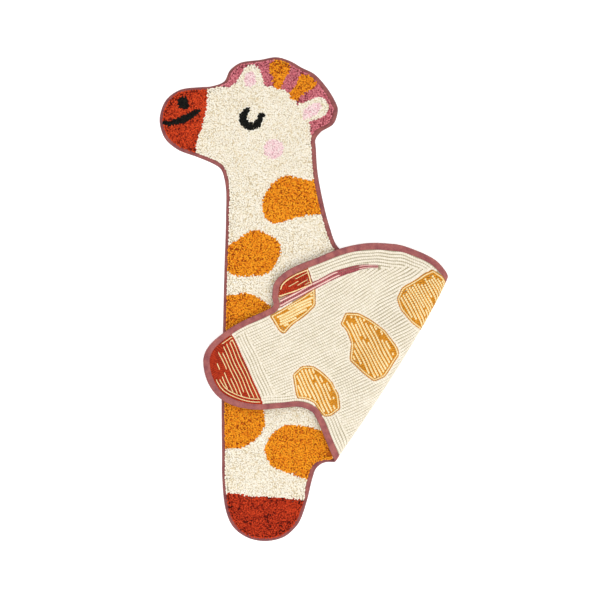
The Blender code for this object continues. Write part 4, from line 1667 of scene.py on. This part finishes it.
def swung(rows):
    """The rows with the swing near the fold's upper end."""
    middle = laid_flat(np.array((SWING_AT,)))[0]
    offset = rows.places - middle
    amount = SWING * np.exp(-(offset**2).sum(axis=1) / (2 * SWING_REACH**2))
    places = rows.places - np.column_stack((amount * offset[:, 1], np.zeros(len(amount))))
    headings = rows.headings - np.column_stack((amount, np.zeros(len(amount))))
    return Rows(places, headings / np.linalg.norm(headings, axis=1)[:, None], rows.numbers, rows.rows)


def off_the_motifs(rows, least=CLEAR_OF_MOTIF):
    return rows.kept(clear_of_motifs(rows.places) > least)


print("rows along the rump and at the fold:", RUMP_ROWS, RUMP_ROWS_AT_FOLD)

# %% Lay the ground's rows
edge_rows = rows_along(OUTLINE, [FIRST_ROW + k * ROW_PITCH for k in range(RUMP_ROWS)])
edge_rows = edge_rows.kept(edge_rows.rows < edge_rows_at(edge_rows.places))
lay("cream", off_the_motifs(edge_rows), GROUND_WIDTH, FULL, GROUND_OVERLAP)

for curve in HOOVES:
    by_hoof = rows_along(curve, [-(k + 0.5) * ROW_PITCH for k in range(HOOF_ROWS)])
    from_edge = depth_in(by_hoof.places, OUTLINE)
    by_hoof = by_hoof.kept(from_edge > FIRST_ROW + (EDGE_ROWS - 0.4) * ROW_PITCH)
    lay("cream", off_the_motifs(by_hoof), GROUND_WIDTH, FULL, GROUND_OVERLAP)

for _, yarn, curve in PATCHES:
    if yarn != "cream":
        beside = rows_along(curve, (BESIDE,))
        beside = beside.kept(depth_in(beside.places, OUTLINE) > CLEAR_OF_TAPE + 1.0)
        lay("cream", off_the_motifs(beside, BESIDE_CLEAR), BESIDE_WIDTH, UNDER - 0.2, LONG_OVERLAP)

ground = swung(straight_rows(OUTLINE, UPWARDS, ROW_PITCH))
ground = ground.kept(depth_in(ground.places, OUTLINE) > FIRST_ROW)
inner = depth_in(ground.places, OUTLINE) - CLEAR_OF_TAPE
ground = ground.kept(inner > edge_rows_at(ground.places) * ROW_PITCH - SHARED)
ground = ground.kept(clear_of_hooves(ground.places) > HOOF_ROWS * ROW_PITCH - SHARED)
ground = off_the_motifs(ground)
lay("cream", ground, GROUND_WIDTH, UNDER, GROUND_OVERLAP)
print(len(edge_rows.places), "stitches along the edge,", len(ground.places), "in the straight rows")

# %% [markdown]
# ### Sew the rows
# Exactly straight and equal stitches would look printed. So the rows waver a little together, each stitch
# lies slightly askew and overlaps the next one, and the tree varies its size. Then the rows are sorted by
# yarn, and the planting tree makes one piece of each yarn above the fold and one underneath.

# %% Lay the stitches on the back
ROW_FOOT = 1.6
ABOVE_FROM = -2.0  # stitches from this far before the bend on belong to the upper layer
WAVER = 1.5  # neighbouring rows waver together, by up to about this third of it
WAVER_LENGTH = 55.0
WAVER_SEEDS = (61, 62)
TURN = 0.055  # how far a stitch lies askew in its row, in radians for each millimetre of its width
RISE = 0.05  # each stitch rises a little over the next one
PRESSED = 1.15  # underneath, the rug's weight presses the stitches to this height
STITCH_CHANCE = {"Size Variation": 0.05, "Height Variation": 0.08, "Lean": 0.03, "Twist": 0.05}
ROW_SEED = 500


def wavered(places):
    """The places with a slow sideways drift, because a row is sewn by hand."""
    drift = [soft_noise(places / WAVER_LENGTH, seed) for seed in WAVER_SEEDS]
    return places + WAVER * np.column_stack(drift)


def turned(headings, angles):
    """The headings turned by these angles."""
    x, y = headings.T
    return np.column_stack((x * np.cos(angles) - y * np.sin(angles), x * np.sin(angles) + y * np.cos(angles)))


def lay_rows(name, yarn, above, seed):
    """The rows of one yarn, above the fold or underneath, where every second stitch is left out."""
    places, headings, sizes = [], [], []
    for rows, widths, height, overlap in (item[1:] for item in LAID if item[0] == yarn):
        upper = run_past_fold(rows.places) > ABOVE_FROM
        taken = upper if above else ~upper & (rows.numbers % 2 == 0)
        run = STITCH_RUN * (overlap if above else 2.0 * STITCH_OVERLAP)
        places.append(rows.places[taken])
        headings.append(turned(rows.headings, TURN * widths)[taken])
        high = height if above else min(height, PRESSED)
        size = [np.broadcast_to(side, len(widths)) for side in (run, widths, high)]
        sizes.append(np.column_stack(size)[taken])
    places, headings, sizes = np.vstack(places), np.vstack(headings), np.vstack(sizes) * MM
    if not len(places):
        return []
    places = wavered(places)
    feet = folded(places, ROW_FOOT)
    ahead = folded(places + headings, ROW_FOOT) - feet
    outward = folded(places, ROW_FOOT - 1.0) - feet - (RISE * ahead if above else 0.0)
    shapes = STITCHES if above else PLAIN_STITCHES
    finish = ROW_FINISHES[yarn]
    return [plant(name, feet * MM, outward, ahead, sizes, shapes, finish, **STITCH_CHANCE, Seed=seed)]


row_pieces = []
for number, yarn in enumerate(ROW_COLOURS):
    for above in (True, False):
        name = f"rows_{yarn.replace(' ', '_')}_{'above' if above else 'underneath'}"
        row_pieces += lay_rows(name, yarn, above, ROW_SEED + 2 * number + above)
print(len(row_pieces), "pieces of rows")

# %% [markdown]
# ## The binding
# A woven cotton tape is folded round the edge and sewn through. It is one section swept round the
# outline: the section is drawn rounder than the CAD part's, and the sweep carries two numbers, how far
# along the tape and how far across, so that the weave follows it round every curve.

# %% The tape's line and section
BEND_STATION_PITCH = 2.5
FINE_STEPS = 48
BEFORE_BEND = -8.0


def tape_line():
    """The outline with closer stations where it goes round the fold."""
    fine = smooth_curve(OUTLINE_POINTS, FINE_STEPS)
    run = run_past_fold(fine)
    bending = (run > BEFORE_BEND) & (run < BEND_WIDTH)
    return stations(fine, np.where(bending, BEND_STATION_PITCH, STATION_PITCH))


def tape_section():
    """The tape folded round the edge, as (inset, height), with soft corners and a puffed outer edge."""
    top = EDGE_THICKNESS
    return np.array((
        (1.3, 0.05), (4.0, 0.0), (9.0, 0.05), (12.2, 0.12), (13.8, 0.3), (14.1, 0.6), (13.8, 0.95),
        (12.5, 1.0), (6.0, 1.0), (1.6, 1.05), (1.4, 2.3), (1.6, top - 1.05), (5.0, top - 1.0),
        (8.6, top - 1.0), (9.3, top - 0.9), (9.5, top - 0.6), (9.3, top - 0.25), (8.4, top - 0.08),
        (5.0, top), (2.6, top - 0.05), (1.3, top - 0.4), (0.6, top - 1.2), (0.4, top / 2), (0.6, 1.1),
        (0.9, 0.4),
    ))


def way_round(points):
    """How far round a closed line each of its points lies, with the whole way round at the end."""
    return np.concatenate(([0.0], np.cumsum(np.linalg.norm(np.roll(points, -1, axis=0) - points, axis=1))))


print(f"the tape is {way_round(tape_section())[-1]:.1f} mm wide, measured round its section")

# %% [markdown]
# ### The twill
# The tape is a cotton twill, whose fine ribs run at a slant. Modelled ribs would be finer than anything else
# on the rug, so they are colour and bump in the finish, which reads the sweep's two numbers as a UV map.
# Along its outer edge, where the tape rolls over, shade is painted in as a darker line.

# %% Finish of the tape
RIB_PITCH = 1.3
EDGE_SHADE_REACH = 5.6  # how far from the outer edge the tape looks darker


def tape_finish():
    """Mauve twill: fine diagonal ribs, a slub, uneven dye, and a line of painted shade along the outer edge.
    """
    finish = Finish("binding_twill")
    section = tape_section()
    outer_edge = float(way_round(section)[np.argmin(section[:, 0])])
    tape = finish.node("ShaderNodeUVMap", {"uv_map": "tape"}).outputs["UV"]
    split = finish.node("ShaderNodeSeparateXYZ", None, {"Vector": tape})
    run = Mask(finish, split.outputs["X"])
    across = Mask(finish, split.outputs["Y"])
    ribs = ((run + across) * (2 * math.pi / RIB_PITCH)).sine() * 0.5 + 0.5
    slub = finish.noise(3.0)
    dye = finish.noise(15.0, 3.0)
    shade = (dye * 2.4 + slub * 1.2 + ribs * 0.2 - 1.4).clamped()
    beside = (across - outer_edge) * (1.0 / EDGE_SHADE_REACH)
    edge_shade = (1.0 - beside * beside).clamped()
    colour = finish.blend(shade, paint(172, 103, 97), paint(136, 75, 79))
    # Painted shade: the tape is darker along its outer edge, where it rolls over.
    colour = finish.blend(edge_shade * 0.6, colour, paint(112, 72, 74))
    return finish.finished(colour, 0.78 + slub * 0.15, ribs * 0.6 + slub * 0.8, 0.3, **COTTON)


binding_twill = tape_finish()
print("finish of the tape:", binding_twill.name)

# %% Sweep the tape round the edge
def sweep_tape():
    """The section at every station of the outline, joined by faces that carry their place on the tape."""
    line, section = tape_line(), tape_section()
    ways = inward(line)
    reach, around = way_round(line), way_round(section)
    facing = face_to_the_right(line, -ways)
    on_the_face = section[:, 1] > EDGE_THICKNESS / 2
    wider = 1.0 + WIDER_ON_THE_RIGHT / TAPE_ON_FACE * np.outer(facing, on_the_face)
    places = (line[:, None] + ways[:, None] * (section[:, 0] * wider)[..., None]).reshape(-1, 2)
    heights = np.tile(section[:, 1], len(line))
    bm = bmesh.new()
    verts = [bm.verts.new(point) for point in folded(places, heights)]
    layer = bm.loops.layers.uv.new("tape")
    rings, sides = len(line), len(section)
    for i in range(rings):
        for k in range(sides):
            corners = ((i, k), (i, k + 1), (i + 1, k + 1), (i + 1, k))
            face = bm.faces.new([verts[(a % rings) * sides + b % sides] for a, b in corners])
            for loop, (a, b) in zip(face.loops, corners):
                loop[layer].uv = (reach[a], around[b])
    bmesh.ops.recalc_face_normals(bm, faces=bm.faces)
    return bm


tape = sweep_tape()
binding = as_piece("binding", tape, flat_points(tape), binding_twill)
print(f"binding: {triangles_in(binding.data)} triangles")

# %% [markdown]
# ## Floor, light and camera
# The rug lies on a plain white floor, seen from straight above. Large soft lights and a floor that glows
# a little, like a lit white table, leave almost no shadow.

# %% The floor
FLOOR_GLOW = 0.32


def floor_finish():
    finish = Finish("floor_white")
    grain = finish.noise(4.0)
    colour = finish.blend(grain, paint(252, 252, 252), paint(249, 249, 249))
    glow = {"Emission Color": (1.0, 1.0, 1.0, 1.0), "Emission Strength": FLOOR_GLOW}
    return finish.finished(colour, 0.9 + grain * 0.05, grain, 0.05, **glow)


HALF_FLOOR = 4.0
FLOOR_LEVEL = -0.0004
floor_mesh = bpy.data.meshes.new("floor")
corners = [(x * HALF_FLOOR, y * HALF_FLOOR, FLOOR_LEVEL) for x, y in ((-1, -1), (1, -1), (1, 1), (-1, 1))]
floor_mesh.from_pydata(corners, [], [(0, 1, 2, 3)])
floor_mesh.materials.append(floor_finish())
floor = bpy.data.objects.new("floor", floor_mesh)
bpy.context.scene.collection.objects.link(floor)
floor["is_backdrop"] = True
print(f"floor {2 * HALF_FLOOR:.0f} m wide")

# %% [markdown]
# ### The light
# Light from all sides alone would hide the relief of the pile and the rows. So most of it comes from a white
# world, and two large lamps at a slant give each tuft and stitch a lit side and a dim one.

# %% The light
WORLD_LIGHT = 0.93
world = bpy.data.worlds.new("studio")
world.use_nodes = True
background = world.node_tree.nodes["Background"]
background.inputs["Color"].default_value = (1.0, 1.0, 1.0, 1.0)
background.inputs["Strength"].default_value = WORLD_LIGHT
bpy.context.scene.world = world

LIGHTS = (  # title, place, size, power
    ("key_light", (1.3, -1.7, 2.5), 2.0, 36.0),
    ("fill_light", (-1.7, 1.0, 2.7), 2.2, 18.0),
)
for title, place, size, power in LIGHTS:
    lamp = bpy.data.lights.new(title, "AREA")
    lamp.size = size
    lamp.energy = power
    light = bpy.data.objects.new(title, lamp)
    light.location = place
    aim = -np.array(place)
    tilt = math.acos(-aim[2] / np.linalg.norm(aim))
    light.rotation_euler = (tilt, 0.0, math.atan2(aim[1], aim[0]) - math.pi / 2)
    bpy.context.scene.collection.objects.link(light)
print(len(LIGHTS), "lamps")

# %% [markdown]
# ### The camera
# The photograph was taken from straight above. A long lens high up keeps the fold from leaning outwards
# in the picture, and its length follows from the width of the floor that the picture has to show.

# %% The camera, straight above
CAMERA_HEIGHT = 4.0
FRAME_WIDTH = 1.36364
FRAME_MIDDLE = (-0.0085, -0.0019)
SENSOR = 36.0
camera_data = bpy.data.cameras.new("camera")
camera_data.sensor_width = SENSOR
camera_data.lens = SENSOR * CAMERA_HEIGHT / FRAME_WIDTH
camera = bpy.data.objects.new("camera", camera_data)
camera.location = (*FRAME_MIDDLE, CAMERA_HEIGHT)
bpy.context.scene.collection.objects.link(camera)
bpy.context.scene.camera = camera
bpy.context.scene.view_settings.view_transform = "Standard"
print(f"lens {camera_data.lens:.1f} mm")

# %% [markdown]
# ## Tie the pieces to the imported model
# Every piece rides on the rug's one body. The cloth stands for the CAD model's tufted cloth, with the
# pile and the rows that are sewn to it, and the tape for its binding.

# %% Ride and replace
sewn = [pile_bed, *pile_pieces, *row_pieces]
for piece in [base_cloth, binding, *sewn]:
    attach(piece, "root")
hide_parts("tufted_cloth")
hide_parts("edge_binding")
print(len(sewn), "pieces are sewn to the base cloth")

# %% [markdown]
# ## The size
# The box round the rug is measured after the last piece, and printed with the count of triangles. The
# looks may not make the rug larger or smaller than the CAD model is.

# %% Measure the size and finish
total = sum(triangles_in(piece.data) for piece in [base_cloth, binding, *sewn])
print(f"{total} triangles in all")
VISUAL_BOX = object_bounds()
for corner in VISUAL_BOX:
    print("corner of the visual box, in metres:", [round(float(value), 4) for value in corner])
